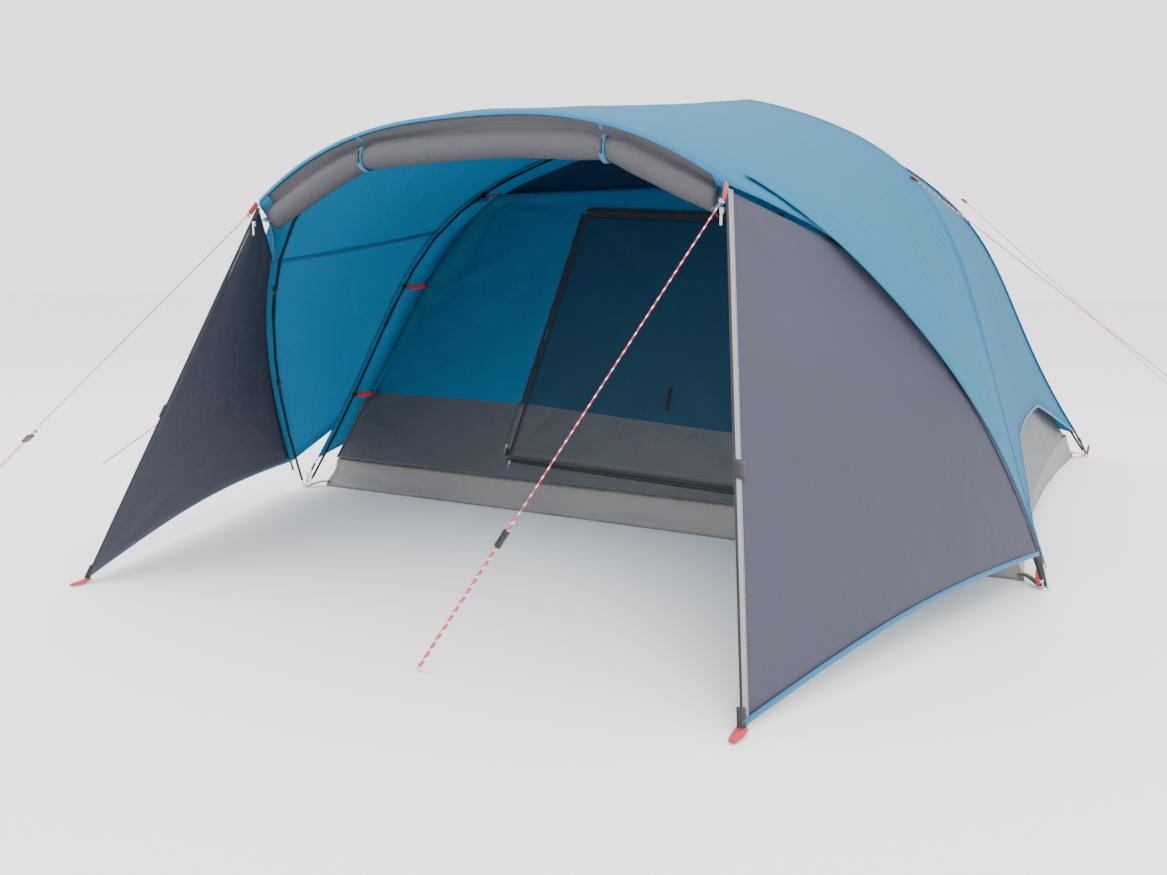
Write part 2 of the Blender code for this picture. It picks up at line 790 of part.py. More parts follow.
panel("porch_canopy", "fly", canopy_rows())
panel("fly_left_side", "fly", fly_side_rows(("front", -1), ("rear", -1)))
panel("fly_right_side", "fly", fly_side_rows(("front", 1), ("rear", 1)))
panel("fly_rear", "fly", fly_side_rows(("rear", -1), ("rear", 1)))
panel("wing_left", "wing", wing_rows(-1))
panel("wing_right", "wing", wing_rows(1))
make_roll()

make_tub()
make_front_wall()
wall_between("inner_left_wall", ("front", -1), ("rear", -1))
wall_between("inner_right_wall", ("front", 1), ("rear", 1))
wall_between("inner_rear_wall", ("rear", -1), ("rear", 1))
make_mesh_roof()

make_sliders()
for guy_name, (guy_start, guy_end, guy_share) in guy_lines.items():
    make_guy(guy_name, guy_start, guy_end, guy_share)
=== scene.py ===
import math
import bmesh
import bpy
import numpy as np
from mathutils import Matrix, Vector, noise


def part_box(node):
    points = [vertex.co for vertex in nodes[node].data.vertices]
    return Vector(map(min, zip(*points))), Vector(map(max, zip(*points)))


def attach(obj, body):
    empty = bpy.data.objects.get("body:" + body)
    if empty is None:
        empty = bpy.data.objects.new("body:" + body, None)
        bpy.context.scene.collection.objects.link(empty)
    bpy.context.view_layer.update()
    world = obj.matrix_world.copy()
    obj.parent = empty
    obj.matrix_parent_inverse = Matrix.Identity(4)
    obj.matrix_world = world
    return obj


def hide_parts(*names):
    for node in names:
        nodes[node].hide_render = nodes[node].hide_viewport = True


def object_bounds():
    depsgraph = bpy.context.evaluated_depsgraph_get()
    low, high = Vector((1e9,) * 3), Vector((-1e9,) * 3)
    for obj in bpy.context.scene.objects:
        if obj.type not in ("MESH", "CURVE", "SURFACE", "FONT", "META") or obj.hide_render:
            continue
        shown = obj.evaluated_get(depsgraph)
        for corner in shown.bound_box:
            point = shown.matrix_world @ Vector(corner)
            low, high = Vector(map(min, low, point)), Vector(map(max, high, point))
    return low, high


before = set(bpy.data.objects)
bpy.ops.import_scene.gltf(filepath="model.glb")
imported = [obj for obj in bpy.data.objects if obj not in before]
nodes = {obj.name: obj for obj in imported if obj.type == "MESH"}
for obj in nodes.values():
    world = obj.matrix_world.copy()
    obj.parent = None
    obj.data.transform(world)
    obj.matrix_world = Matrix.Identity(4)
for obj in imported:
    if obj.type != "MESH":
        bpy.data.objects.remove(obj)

cadBounds = [list(corner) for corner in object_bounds()]


# Sizes that come from the frame

def boxMiddle(node):
    low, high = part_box(node)
    return (Vector(low) + Vector(high)) / 2


ringMiddle = boxMiddle("corner_ring_front_right")
poleTop = 0.0039           # from a pole's centre line up to its highest edge
tent = {
    "halfWidth": ringMiddle.x,
    "halfDepth": -ringMiddle.y,
    "ringRadius": 0.012,
    "crossing": (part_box("dome_pole_a_4")[1][2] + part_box("dome_pole_b_4")[1][2]) / 2 - poleTop,
    "porchHeight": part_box("porch_pole_3")[1][2] - poleTop,
    "porchTopY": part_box("porch_pole_3")[0][1] + poleTop,
    "poleStart": 0.0068,
    "skin": 0.0150,          # from a pole's centre line out to the fly
    "hang": 0.035,           # from a pole's centre line in to the inner tent
    "flyLow": 0.11,
    "flyCut": 0.285,
    "eaveY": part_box("porch_canopy")[0][1] + 0.0008,
    "shoulderLow": 0.50,
    "shoulderHigh": 0.58,
}
legShapes = {
    "front": ((0.0, 0.0), (0.36, 0.74), (0.09, 0.72), (0.97, 1.0), (1.0, 1.0)),
    "rear": ((0.0, 0.0), (0.48, 0.655), (0.13, 0.71), (0.90, 1.0), (1.0, 1.0)),
    "porch": ((0.0, 0.0), (0.13, 0.60), (0.42, 1.0), (1.0, 1.0)),
}


def bezier(shape, t):
    points = [Vector(point) for point in shape]
    degree = len(points) - 1
    while len(points) > 2:
        points = [a.lerp(b, t) for a, b in zip(points, points[1:])]
    return points[0].lerp(points[1], t), (points[1] - points[0]) * degree


def legPoint(kind, side, t, off=0.0):
    if kind == "porch":
        foot = Vector((side * tent["halfWidth"], -tent["halfDepth"] - tent["ringRadius"],
                       tent["poleStart"]))
        top = Vector((0.0, tent["porchTopY"], tent["porchHeight"]))
        inward = Vector((-side, 0.0, 0.0))
    else:
        end = -1 if kind == "front" else 1
        foot = Vector((side * tent["halfWidth"], end * (tent["halfDepth"] - tent["ringRadius"]),
                       tent["poleStart"]))
        top = Vector((0.0, 0.0, tent["crossing"]))
        inward = Vector((-foot.x, -foot.y, 0.0)).normalized()
    rise = top - foot
    reach = rise.dot(inward)
    upward = rise - inward * reach
    height = upward.length
    upward.normalize()
    (across, up), (slopeIn, slopeUp) = bezier(legShapes[kind], t)
    point = foot + inward * (across * reach) + upward * (up * height)
    normal = inward * (-slopeUp * height) + upward * (slopeIn * reach)
    return point + normal.normalized() * off


def legShareAt(kind, side, height, off=0.0):
    low, high = 0.0, 1.0
    for _ in range(30):
        middle = (low + high) / 2
        if legPoint(kind, side, middle, off).z < height:
            low = middle
        else:
            high = middle
    return (low + high) / 2


def softStep(low, high, value):
    share = min(1.0, max(0.0, (value - low) / (high - low)))
    return share * share * (3 - 2 * share)


# Materials

def newMaterial(name):
    material = bpy.data.materials.new(name)
    material.use_nodes = True
    tree = material.node_tree
    return material, tree, tree.nodes["Principled BSDF"], tree.nodes["Material Output"]


def noiseNode(tree, vector, scale, detail=3.0, distortion=0.0):
    node = tree.nodes.new("ShaderNodeTexNoise")
    node.inputs["Scale"].default_value = scale
    node.inputs["Detail"].default_value = detail
    node.inputs["Distortion"].default_value = distortion
    tree.links.new(vector, node.inputs["Vector"])
    return node.outputs["Fac"]


def waveNode(tree, vector, scale, direction, distortion=0.0):
    node = tree.nodes.new("ShaderNodeTexWave")
    node.bands_direction = direction
    node.inputs["Scale"].default_value = scale
    node.inputs["Distortion"].default_value = distortion
    tree.links.new(vector, node.inputs["Vector"])
    return node.outputs["Fac"]


def mathNode(tree, operation, a, b=None):
    node = tree.nodes.new("ShaderNodeMath")
    node.operation = operation
    for socket, value in zip(node.inputs, (a, b)):
        if isinstance(value, (int, float)):
            socket.default_value = value
        elif value is not None:
            tree.links.new(value, socket)
    return node.outputs[0]


def rampNode(tree, value, low, high, colourLow, colourHigh):
    node = tree.nodes.new("ShaderNodeValToRGB")
    node.color_ramp.elements[0].position = low
    node.color_ramp.elements[1].position = high
    node.color_ramp.elements[0].color = (*colourLow, 1)
    node.color_ramp.elements[1].color = (*colourHigh, 1)
    tree.links.new(value, node.inputs["Fac"])
    return node.outputs["Color"]


def bumpNode(tree, height, strength, distance, after=None):
    node = tree.nodes.new("ShaderNodeBump")
    node.inputs["Strength"].default_value = strength
    node.inputs["Distance"].default_value = distance
    tree.links.new(height, node.inputs["Height"])
    if after is not None:
        tree.links.new(after, node.inputs["Normal"])
    return node.outputs["Normal"]


def shade(colour, amount):
    return tuple(channel * amount for channel in colour)


def clothMaterial(name, look):
    material, tree, shader, output = newMaterial(name)
    place = tree.nodes.new("ShaderNodeTexCoord")
    warp = waveNode(tree, place.outputs["UV"], 1 / look["thread"] / 6.3, "X", 0.4)
    weft = waveNode(tree, place.outputs["UV"], 1 / look["thread"] / 6.3, "Y", 0.4)
    weave = mathNode(tree, "MAXIMUM", warp, weft)
    broad = noiseNode(tree, place.outputs["Object"], 2.3, 3.0, 0.5)
    fine = noiseNode(tree, place.outputs["Object"], look["creaseScale"], 5.0, 1.1)
    slub = noiseNode(tree, place.outputs["UV"], 260.0, 2.0)
    mottled = mathNode(tree, "ADD", mathNode(tree, "MULTIPLY", broad, 0.75),
                       mathNode(tree, "MULTIPLY", slub, 0.25))
    colour = rampNode(tree, mottled, 0.32, 0.68, shade(look["colour"], 0.90), look["colour"])
    tree.links.new(colour, shader.inputs["Base Color"])
    creased = bumpNode(tree, fine, look["creaseStrength"], 0.010)
    woven = bumpNode(tree, weave, 0.10, look["thread"] * 0.3, creased)
    tree.links.new(woven, shader.inputs["Normal"])
    roughness = tree.nodes.new("ShaderNodeMapRange")
    roughness.inputs["To Min"].default_value = look["roughness"] - 0.06
    roughness.inputs["To Max"].default_value = look["roughness"] + 0.06
    tree.links.new(broad, roughness.inputs["Value"])
    tree.links.new(roughness.outputs["Result"], shader.inputs["Roughness"])
    shader.inputs["Sheen Weight"].default_value = look.get("sheen", 0.12)
    shader.inputs["Sheen Roughness"].default_value = 0.45
    shader.inputs["Specular IOR Level"].default_value = look.get("gloss", 0.35)
    if look.get("glow"):
        through = tree.nodes.new("ShaderNodeBsdfTranslucent")
        through.inputs["Color"].default_value = (*look["through"], 1)
        tree.links.new(creased, through.inputs["Normal"])
        both = tree.nodes.new("ShaderNodeMixShader")
        both.inputs["Fac"].default_value = look["glow"]
        tree.links.new(shader.outputs[0], both.inputs[1])
        tree.links.new(through.outputs[0], both.inputs[2])
        tree.links.new(both.outputs[0], output.inputs["Surface"])
    return material


def webbingMaterial(name, colour, pitch=0.0016):
    material, tree, shader, _ = newMaterial(name)
    place = tree.nodes.new("ShaderNodeTexCoord")
    ribs = waveNode(tree, place.outputs["UV"], 1 / pitch / 6.3, "Y", 0.6)
    fuzz = noiseNode(tree, place.outputs["Object"], 420.0, 2.0)
    tone = mathNode(tree, "MULTIPLY", ribs, fuzz)
    tree.links.new(rampNode(tree, tone, 0.1, 0.6, shade(colour, 0.6), colour),
                   shader.inputs["Base Color"])
    tree.links.new(bumpNode(tree, tone, 0.5, pitch * 0.4), shader.inputs["Normal"])
    shader.inputs["Roughness"].default_value = 0.78
    shader.inputs["Sheen Weight"].default_value = 0.2
    return material


def plasticMaterial(name, colour, roughness):
    material, tree, shader, _ = newMaterial(name)
    place = tree.nodes.new("ShaderNodeTexCoord")
    grain = noiseNode(tree, place.outputs["Object"], 350.0, 3.0)
    wear = noiseNode(tree, place.outputs["Object"], 40.0, 4.0, 0.4)
    tree.links.new(rampNode(tree, wear, 0.35, 0.75, colour, shade(colour, 1.6)),
                   shader.inputs["Base Color"])
    tree.links.new(bumpNode(tree, grain, 0.08, 0.0004), shader.inputs["Normal"])
    spread = tree.nodes.new("ShaderNodeMapRange")
    spread.inputs["To Min"].default_value = roughness - 0.06
    spread.inputs["To Max"].default_value = roughness + 0.10
    tree.links.new(wear, spread.inputs["Value"])
    tree.links.new(spread.outputs["Result"], shader.inputs["Roughness"])
    return material


def metalMaterial(name, colour, roughness):
    material, tree, shader, _ = newMaterial(name)
    place = tree.nodes.new("ShaderNodeTexCoord")
    scratch = noiseNode(tree, place.outputs["Object"], 600.0, 3.0, 1.5)
    tree.links.new(rampNode(tree, scratch, 0.3, 0.7, shade(colour, 0.75), colour),
                   shader.inputs["Base Color"])
    tree.links.new(bumpNode(tree, scratch, 0.10, 0.0003), shader.inputs["Normal"])
    shader.inputs["Metallic"].default_value = 1.0
    shader.inputs["Roughness"].default_value = roughness
    return material


def cordMaterial(name, colour, fleck):
    material, tree, shader, _ = newMaterial(name)
    place = tree.nodes.new("ShaderNodeTexCoord")
    split = tree.nodes.new("ShaderNodeSeparateXYZ")
    tree.links.new(place.outputs["UV"], split.inputs[0])
    lengthwise = mathNode(tree, "MULTIPLY", split.outputs["Y"], 1 / 0.021)
    oneWay = mathNode(tree, "FRACT", mathNode(tree, "ADD", lengthwise, split.outputs["X"]))
    otherWay = mathNode(tree, "FRACT", mathNode(tree, "SUBTRACT", lengthwise, split.outputs["X"]))
    flecks = mathNode(tree, "MULTIPLY", mathNode(tree, "LESS_THAN", oneWay, 0.42),
                      mathNode(tree, "LESS_THAN", otherWay, 0.62))
    tree.links.new(rampNode(tree, flecks, 0.4, 0.6, colour, fleck), shader.inputs["Base Color"])
    strands = mathNode(tree, "MULTIPLY", split.outputs["Y"], 1 / 0.0024)
    braid = mathNode(tree, "PINGPONG", mathNode(tree, "ADD", strands, split.outputs["X"]), 0.5)
    tree.links.new(bumpNode(tree, braid, 0.6, 0.0006), shader.inputs["Normal"])
    shader.inputs["Roughness"].default_value = 0.75
    shader.inputs["Sheen Weight"].default_value = 0.2
    return material


def dullShine(material, amount):
    material.node_tree.nodes["Principled BSDF"].inputs["Specular IOR Level"].default_value = amount
    return material


flyLook = {"colour": (0.045, 0.270, 0.450), "through": (0.010, 0.350, 0.520), "glow": 0.45,
           "roughness": 0.50, "thread": 0.0008, "creaseScale": 9.0, "creaseStrength": 0.45,
           "sheen": 0.0, "gloss": 0.06}
wingLook = {"colour": (0.070, 0.072, 0.098), "through": (0.05, 0.06, 0.07), "glow": 0.08,
            "roughness": 0.55, "thread": 0.0008, "creaseScale": 10.0, "creaseStrength": 0.40,
            "sheen": 0.0, "gloss": 0.10}
rollLook = {"colour": (0.068, 0.068, 0.080), "roughness": 0.58, "thread": 0.0008,
            "creaseScale": 16.0, "creaseStrength": 0.6, "sheen": 0.02, "gloss": 0.22}
innerLook = {"colour": (0.018, 0.200, 0.370), "through": (0.03, 0.45, 0.72), "glow": 0.42,
             "roughness": 0.62, "thread": 0.0007, "creaseScale": 11.0, "creaseStrength": 0.55,
             "sheen": 0.03, "gloss": 0.22}
edgeLook = {"colour": (0.018, 0.240, 0.380), "through": (0.02, 0.42, 0.60), "glow": 0.45,
            "roughness": 0.60, "thread": 0.0007, "creaseScale": 11.0, "creaseStrength": 0.25}
bandLook = {"colour": (0.075, 0.082, 0.092), "through": (0.05, 0.06, 0.08), "glow": 0.10,
            "roughness": 0.50, "thread": 0.0008, "creaseScale": 12.0, "creaseStrength": 0.40}
meshLook = {"colour": (0.008, 0.050, 0.095), "through": (0.01, 0.10, 0.18), "glow": 0.20,
            "roughness": 0.70, "thread": 0.0016, "creaseScale": 9.0, "creaseStrength": 0.25}
tubLook = {"colour": (0.225, 0.215, 0.212), "roughness": 0.48, "thread": 0.0016,
           "creaseScale": 15.0, "creaseStrength": 0.6, "gloss": 0.35, "sheen": 0.03}
seamLook = {"colour": (0.020, 0.150, 0.300), "roughness": 0.6, "thread": 0.0008,
            "creaseScale": 20.0, "creaseStrength": 0.1}

flyCloth = clothMaterial("fly_cloth", flyLook)
wingCloth = clothMaterial("wing_cloth", wingLook)
rollCloth = clothMaterial("rolled_door_cloth", rollLook)
innerCloth = clothMaterial("inner_cloth", innerLook)
edgeCloth = clothMaterial("inner_edge_cloth", edgeLook)
bandCloth = clothMaterial("inner_band_cloth", bandLook)
netCloth = clothMaterial("navy_net", meshLook)
tubCloth = clothMaterial("groundsheet_cloth", tubLook)
seamCloth = clothMaterial("dark_seam_tape", seamLook)
paleTape = webbingMaterial("pale_tape", (0.36, 0.35, 0.34))
blackTape = webbingMaterial("black_tape", (0.012, 0.012, 0.014))
blueTape = dullShine(webbingMaterial("blue_binding", (0.020, 0.190, 0.380)), 0.2)
redWebbing = webbingMaterial("red_webbing", (0.62, 0.020, 0.030), 0.0012)
blackPlastic = plasticMaterial("black_plastic", (0.014, 0.014, 0.015), 0.38)
poleGlass = dullShine(plasticMaterial("black_glassfibre", (0.008, 0.008, 0.009), 0.50), 0.18)
coilPlastic = plasticMaterial("zip_coil_plastic", (0.020, 0.020, 0.022), 0.45)
plated = metalMaterial("plated_steel", (0.72, 0.72, 0.73), 0.26)
elasticCord = webbingMaterial("elastic_cord", (0.65, 0.65, 0.62), 0.001)
guyCord = cordMaterial("guy_cord_red", (0.60, 0.012, 0.030), (0.85, 0.80, 0.80))
print("materials ready")


# Camera, light and floor

studio = {
    "cameraAt": (1.3875, -3.8175, 0.75), "turn": 28.7, "down": 8.8, "roll": 0.45, "lens": 30.85,
    "keyPower": 270.0, "fillPower": 120.0, "topPower": 200.0, "skyStrength": 2.2,
    "floorColour": (0.96, 0.96, 0.96),
}


def makeCamera():
    turn, down, roll = (math.radians(studio[key]) for key in ("turn", "down", "roll"))
    forward = Vector((-math.sin(turn) * math.cos(down), math.cos(turn) * math.cos(down),
                      -math.sin(down)))
    right = Vector((math.cos(turn), math.sin(turn), 0.0))
    up = right.cross(forward)
    tiltedRight = right * math.cos(roll) + up * math.sin(roll)
    tiltedUp = up * math.cos(roll) - right * math.sin(roll)
    data = bpy.data.cameras.new("camera")
    data.sensor_width = 36.0
    data.sensor_fit = "HORIZONTAL"
    data.lens = studio["lens"]
    camera = bpy.data.objects.new("camera", data)
    bpy.context.scene.collection.objects.link(camera)
    axes = Matrix((tiltedRight, tiltedUp, -forward)).transposed().to_4x4()
    axes.translation = studio["cameraAt"]
    camera.matrix_world = axes
    bpy.context.scene.camera = camera


def makeLight(name, place, target, size, power):
    data = bpy.data.lights.new(name, "AREA")
    data.energy = power
    data.size = size
    light = bpy.data.objects.new(name, data)
    light.location = place
    aim = Vector(target) - Vector(place)
    light.rotation_euler = aim.to_track_quat("-Z", "Y").to_euler()
    bpy.context.scene.collection.objects.link(light)


def makeStage():
    bpy.ops.mesh.primitive_plane_add(size=120.0, location=(0, 0, -0.0012))
    floor = bpy.context.object
    floor.name = "floor"
    material, tree, shader, _ = newMaterial("pale_floor")
    place = tree.nodes.new("ShaderNodeTexCoord")
    grain = noiseNode(tree, place.outputs["Object"], 0.6, 3.0)
    tree.links.new(rampNode(tree, grain, 0.3, 0.7, shade(studio["floorColour"], 0.985),
                            studio["floorColour"]), shader.inputs["Base Color"])
    shader.inputs["Roughness"].default_value = 0.9
    floor.data.materials.append(material)
    world = bpy.data.worlds.new("studio")
    world.use_nodes = True
    world.node_tree.nodes["Background"].inputs["Color"].default_value = (1, 1, 1, 1)
    world.node_tree.nodes["Background"].inputs["Strength"].default_value = studio["skyStrength"]
    bpy.context.scene.world = world
    makeLight("key", (3.6, -5.4, 5.2), (0.2, -0.6, 0.5), 3.4, studio["keyPower"])
    makeLight("fill", (-5.0, -5.0, 2.6), (0.0, -1.0, 0.5), 3.5, studio["fillPower"])
    makeLight("top", (-0.6, 0.8, 6.4), (0.0, 0.0, 0.6), 4.5, studio["topPower"])


makeCamera()
makeStage()
print("camera and studio ready")


# Meshes from grids and paths

def newPiece(name, verts, faces, uvs, materials, faceMaterials=None):
    mesh = bpy.data.meshes.new(name)
    mesh.from_pydata([tuple(v) for v in verts], [], faces)
    layer = mesh.uv_layers.new(name="UVMap")
    for loop in mesh.loops:
        layer.data[loop.index].uv = uvs[loop.vertex_index]
    for material in materials:
        mesh.materials.append(material)
    if faceMaterials is not None:
        mesh.polygons.foreach_set("material_index", faceMaterials)
    mesh.shade_smooth()
    mesh.update()
    piece = bpy.data.objects.new(name, mesh)
    bpy.context.scene.collection.objects.link(piece)
    return piece


def weldMesh(piece, distance=0.00005):
    shape = bmesh.new()
    shape.from_mesh(piece.data)
    bmesh.ops.remove_doubles(shape, verts=shape.verts, dist=distance)
    bmesh.ops.dissolve_degenerate(shape, edges=shape.edges, dist=0.00001)
    shape.to_mesh(piece.data)
    shape.free()


def gridMeasures(points):
    across = np.linalg.norm(np.diff(points, axis=1), axis=2)
    along = np.linalg.norm(np.diff(points, axis=0), axis=2)
    u = np.concatenate([np.zeros((points.shape[0], 1)), np.cumsum(across, axis=1)], axis=1)
    v = np.concatenate([np.zeros((1, points.shape[1])), np.cumsum(along, axis=0)], axis=0)
    u = u - u[:, -1:] / 2
    return u, v


def gridArea(points):
    a, b = points[:-1, :-1], points[:-1, 1:]
    c, d = points[1:, 1:], points[1:, :-1]
    first = np.linalg.norm(np.cross(b - a, c - a), axis=2).sum() / 2
    return first + np.linalg.norm(np.cross(c - a, d - a), axis=2).sum() / 2


def clothHeights(points, folds, seed):
    u, v = gridMeasures(points)
    rows, columns = points.shape[:2]
    heights = np.zeros((rows, columns))
    shift = Vector((seed * 3.7, seed * 1.9, seed * 0.8))
    for r in range(rows):
        for c in range(columns):
            spot = Vector(points[r, c])
            billow = noise.noise(spot * 1.7 + shift)
            crease = abs(noise.noise(Vector((spot.x * 5, spot.y * 5, spot.z * 3)) + shift))
            small = noise.noise(spot * 17 + shift)
            heights[r, c] = (folds.get("billow", 0.004) * billow
                             - folds.get("crease", 0.003) * crease
                             + folds.get("small", 0.0006) * small)
    for row, column, reach, waves, depth in folds.get("fans", ()):
        r0, c0 = row * (rows - 1), column * (columns - 1)
        u0 = u[int(round(r0)), int(round(c0))]
        v0 = v[int(round(r0)), int(round(c0))]
        away = np.hypot(u - u0, v - v0)
        angle = np.arctan2(v - v0, u - u0)
        rays = np.sin(angle * waves + seed) + 0.5 * np.sin(angle * waves * 1.7 + seed * 2)
        heights += depth * rays * np.exp(-away / reach) * np.clip(away / 0.06, 0, 1)
    r, c = np.mgrid[0:rows, 0:columns]
    edges = {
        "left": (np.abs(u - u[:, :1]), v),
        "right": (np.abs(u - u[:, -1:]), v),
        "low": (np.abs(v - v[:1, :]), u),
        "high": (np.abs(v - v[-1:, :]), u),
    }
    for edge, pitch, reach, depth in folds.get("puckers", ()):
        away, along = edges[edge]
        wobble = np.sin(along * 23.0 + seed) * 0.7
        rays = np.sin(along * 2 * math.pi / pitch + wobble + away * 6)
        heights += depth * rays * np.exp(-away / reach)
    margin = np.minimum.reduce([c, columns - 1 - c, r, rows - 1 - r])
    return heights * np.clip(margin / 2.0, 0.0, 1.0)


def clothPiece(name, rows, materials, folds, seed, facing=1, pickMaterial=None, thickness=0.0009):
    points = np.array([[tuple(point) for point in row] for row in rows])
    slopeU = np.gradient(points, axis=1)
    slopeV = np.gradient(points, axis=0)
    normals = np.cross(slopeU, slopeV)
    normals /= np.linalg.norm(normals, axis=2, keepdims=True) + 1e-9
    heights = clothHeights(points, folds, seed)
    points = points + normals * (heights * facing)[..., None]
    rowCount, columnCount = points.shape[:2]
    u, v = gridMeasures(points)
    uvs = np.stack([u, v], axis=2).reshape(-1, 2)
    faces = []
    picked = []
    for r in range(rowCount - 1):
        for c in range(columnCount - 1):
            a = r * columnCount + c
            face = (a, a + 1, a + columnCount + 1, a + columnCount)
            faces.append(face if facing > 0 else face[::-1])
            if pickMaterial is not None:
                picked.append(pickMaterial(r, c))
    piece = newPiece(name, points.reshape(-1, 3), faces, uvs, materials,
                     picked if pickMaterial is not None else None)
    shell = piece.modifiers.new("thickness", "SOLIDIFY")
    shell.thickness = thickness
    shell.offset = -1.0
    width = float(np.max(u[:, -1] - u[:, 0]))
    length = float(np.max(v[-1, :]))
    area = min(float(gridArea(points)), width * length)
    return piece, {"flat": (width, length), "area": area}


def hangCloth(piece, cut):
    print("cloth", piece.name, [round(size, 3) for size in cut["flat"]], round(cut["area"], 3))


def pathFrames(path, normals=None):
    count = len(path)
    frames = []
    last = None
    for k, point in enumerate(path):
        along = (path[min(k + 1, count - 1)] - path[max(k - 1, 0)]).normalized()
        if normals is not None:
            normal = normals[k]
        elif last is None:
            normal = Vector((0, 0, 1)) if abs(along.z) < 0.9 else Vector((0, 1, 0))
        else:
            normal = last
        normal = (normal - along * normal.dot(along)).normalized()
        last = normal
        frames.append((point, along, along.cross(normal).normalized(), normal))
    return frames


def sweep(name, path, profile, materials, normals=None, scale=None, capped=True):
    frames = pathFrames(path, normals)
    verts, uvs = [], []
    sides = len(profile)
    run = 0.0
    for k, (point, _, side, normal) in enumerate(frames):
        if k:
            run += (point - frames[k - 1][0]).length
        size = 1.0 if scale is None else scale[k]
        for j, (x, y) in enumerate(profile):
            verts.append(point + side * (x * size) + normal * (y * size))
            uvs.append((j / sides, run))
    faces = []
    for k in range(len(frames) - 1):
        for j in range(sides):
            n = (j + 1) % sides
            faces.append((k * sides + j, k * sides + n, (k + 1) * sides + n, (k + 1) * sides + j))
    if capped:
        faces.append(tuple(reversed(range(sides))))
        faces.append(tuple((len(frames) - 1) * sides + j for j in range(sides)))
    piece = newPiece(name, verts, faces, uvs, materials)
    shape = bmesh.new()
    shape.from_mesh(piece.data)
    bmesh.ops.recalc_face_normals(shape, faces=shape.faces)
    shape.to_mesh(piece.data)
    shape.free()
    return piece


def roundProfile(radius, sides=10):
    return [(radius * math.cos(2 * math.pi * k / sides), radius * math.sin(2 * math.pi * k / sides))
            for k in range(sides)]


def tapeProfile(width, thickness):
    x, y = width / 2, thickness / 2
    lip = min(y, x) * 0.8
    return [(-x, -y + lip), (-x + lip, -y), (x - lip, -y), (x, -y + lip),
            (x, y - lip), (x - lip, y), (-x + lip, y), (-x, y - lip)]


def joinPieces(name, parts):
    joined = bmesh.new()
    materials = []
    for part in parts:
        first = len(joined.faces)
        joined.from_mesh(part.data)
        joined.faces.ensure_lookup_table()
        for face in joined.faces[first:]:
            material = part.data.materials[face.material_index]
            if material not in materials:
                materials.append(material)
            face.material_index = materials.index(material)
    mesh = bpy.data.meshes.new(name)
    for material in materials:
        mesh.materials.append(material)
    joined.to_mesh(mesh)
    joined.free()
    for part in parts:
        bpy.data.objects.remove(part, do_unlink=True)
    piece = bpy.data.objects.new(name, mesh)
    bpy.context.scene.collection.objects.link(piece)
    return piece


def itemFromShape(name, shape, material):
    bmesh.ops.recalc_face_normals(shape, faces=shape.faces)
    mesh = bpy.data.meshes.new(name)
    shape.to_mesh(mesh)
    shape.free()
    mesh.materials.append(material)
    return bpy.data.objects.new(name, mesh)


def copyAt(item, name, matrix):
    mesh = item.data.copy()
    mesh.transform(matrix)
    piece = bpy.data.objects.new(name, mesh)
    bpy.context.scene.collection.objects.link(piece)
    return piece


def axesMatrix(place, along, side, normal):
    matrix = Matrix((along, side, normal)).transposed().to_4x4()
    matrix.translation = place
    return matrix


# Geometry Nodes: copies of an item along a path, turned with it

def makeRepeatTree():
    tree = bpy.data.node_groups.new("copiesAlongPath", "GeometryNodeTree")
    face = tree.interface
    face.new_socket("Geometry", in_out="INPUT", socket_type="NodeSocketGeometry")
    face.new_socket("Item", in_out="INPUT", socket_type="NodeSocketObject")
    face.new_socket("Spacing", in_out="INPUT", socket_type="NodeSocketFloat")
    face.new_socket("Size Spread", in_out="INPUT", socket_type="NodeSocketFloat")
    face.new_socket("Material", in_out="INPUT", socket_type="NodeSocketMaterial")
    face.new_socket("Geometry", in_out="OUTPUT", socket_type="NodeSocketGeometry")
    add = tree.nodes.new
    start, finish = add("NodeGroupInput"), add("NodeGroupOutput")
    curve = add("GeometryNodeMeshToCurve")
    spaced = add("GeometryNodeResampleCurve")
    spaced.inputs["Count"].default_value = 2
    if "Mode" in spaced.inputs:
        spaced.inputs["Mode"].default_value = "Length"
    else:
        spaced.mode = "LENGTH"
    tangent = add("GeometryNodeInputTangent")
    outward = add("GeometryNodeInputNamedAttribute")
    outward.data_type = "FLOAT_VECTOR"
    outward.inputs["Name"].default_value = "outward"
    turned = add("FunctionNodeAxesToRotation")
    turned.primary_axis = "X"
    turned.secondary_axis = "Z"
    item = add("GeometryNodeObjectInfo")
    copies = add("GeometryNodeInstanceOnPoints")
    spread = add("FunctionNodeRandomValue")
    spread.data_type = "FLOAT"
    spread.inputs["Seed"].default_value = 11
    least = add("ShaderNodeMath")
    least.operation = "SUBTRACT"
    least.inputs[0].default_value = 1.0
    real = add("GeometryNodeRealizeInstances")
    painted = add("GeometryNodeSetMaterial")
    link = tree.links.new
    link(start.outputs["Geometry"], curve.inputs["Mesh"])
    link(curve.outputs["Curve"], spaced.inputs["Curve"])
    link(start.outputs["Spacing"], spaced.inputs["Length"])
    link(spaced.outputs["Curve"], copies.inputs["Points"])
    link(tangent.outputs["Tangent"], turned.inputs["Primary Axis"])
    link(outward.outputs["Attribute"], turned.inputs["Secondary Axis"])
    link(turned.outputs["Rotation"], copies.inputs["Rotation"])
    link(start.outputs["Item"], item.inputs["Object"])
    link(item.outputs["Geometry"], copies.inputs["Instance"])
    link(start.outputs["Size Spread"], least.inputs[1])
    link(least.outputs[0], spread.inputs[2])
    link(spread.outputs[1], copies.inputs["Scale"])
    link(copies.outputs["Instances"], real.inputs["Geometry"])
    link(real.outputs["Geometry"], painted.inputs["Geometry"])
    link(start.outputs["Material"], painted.inputs["Material"])
    link(painted.outputs["Geometry"], finish.inputs["Geometry"])
    return tree


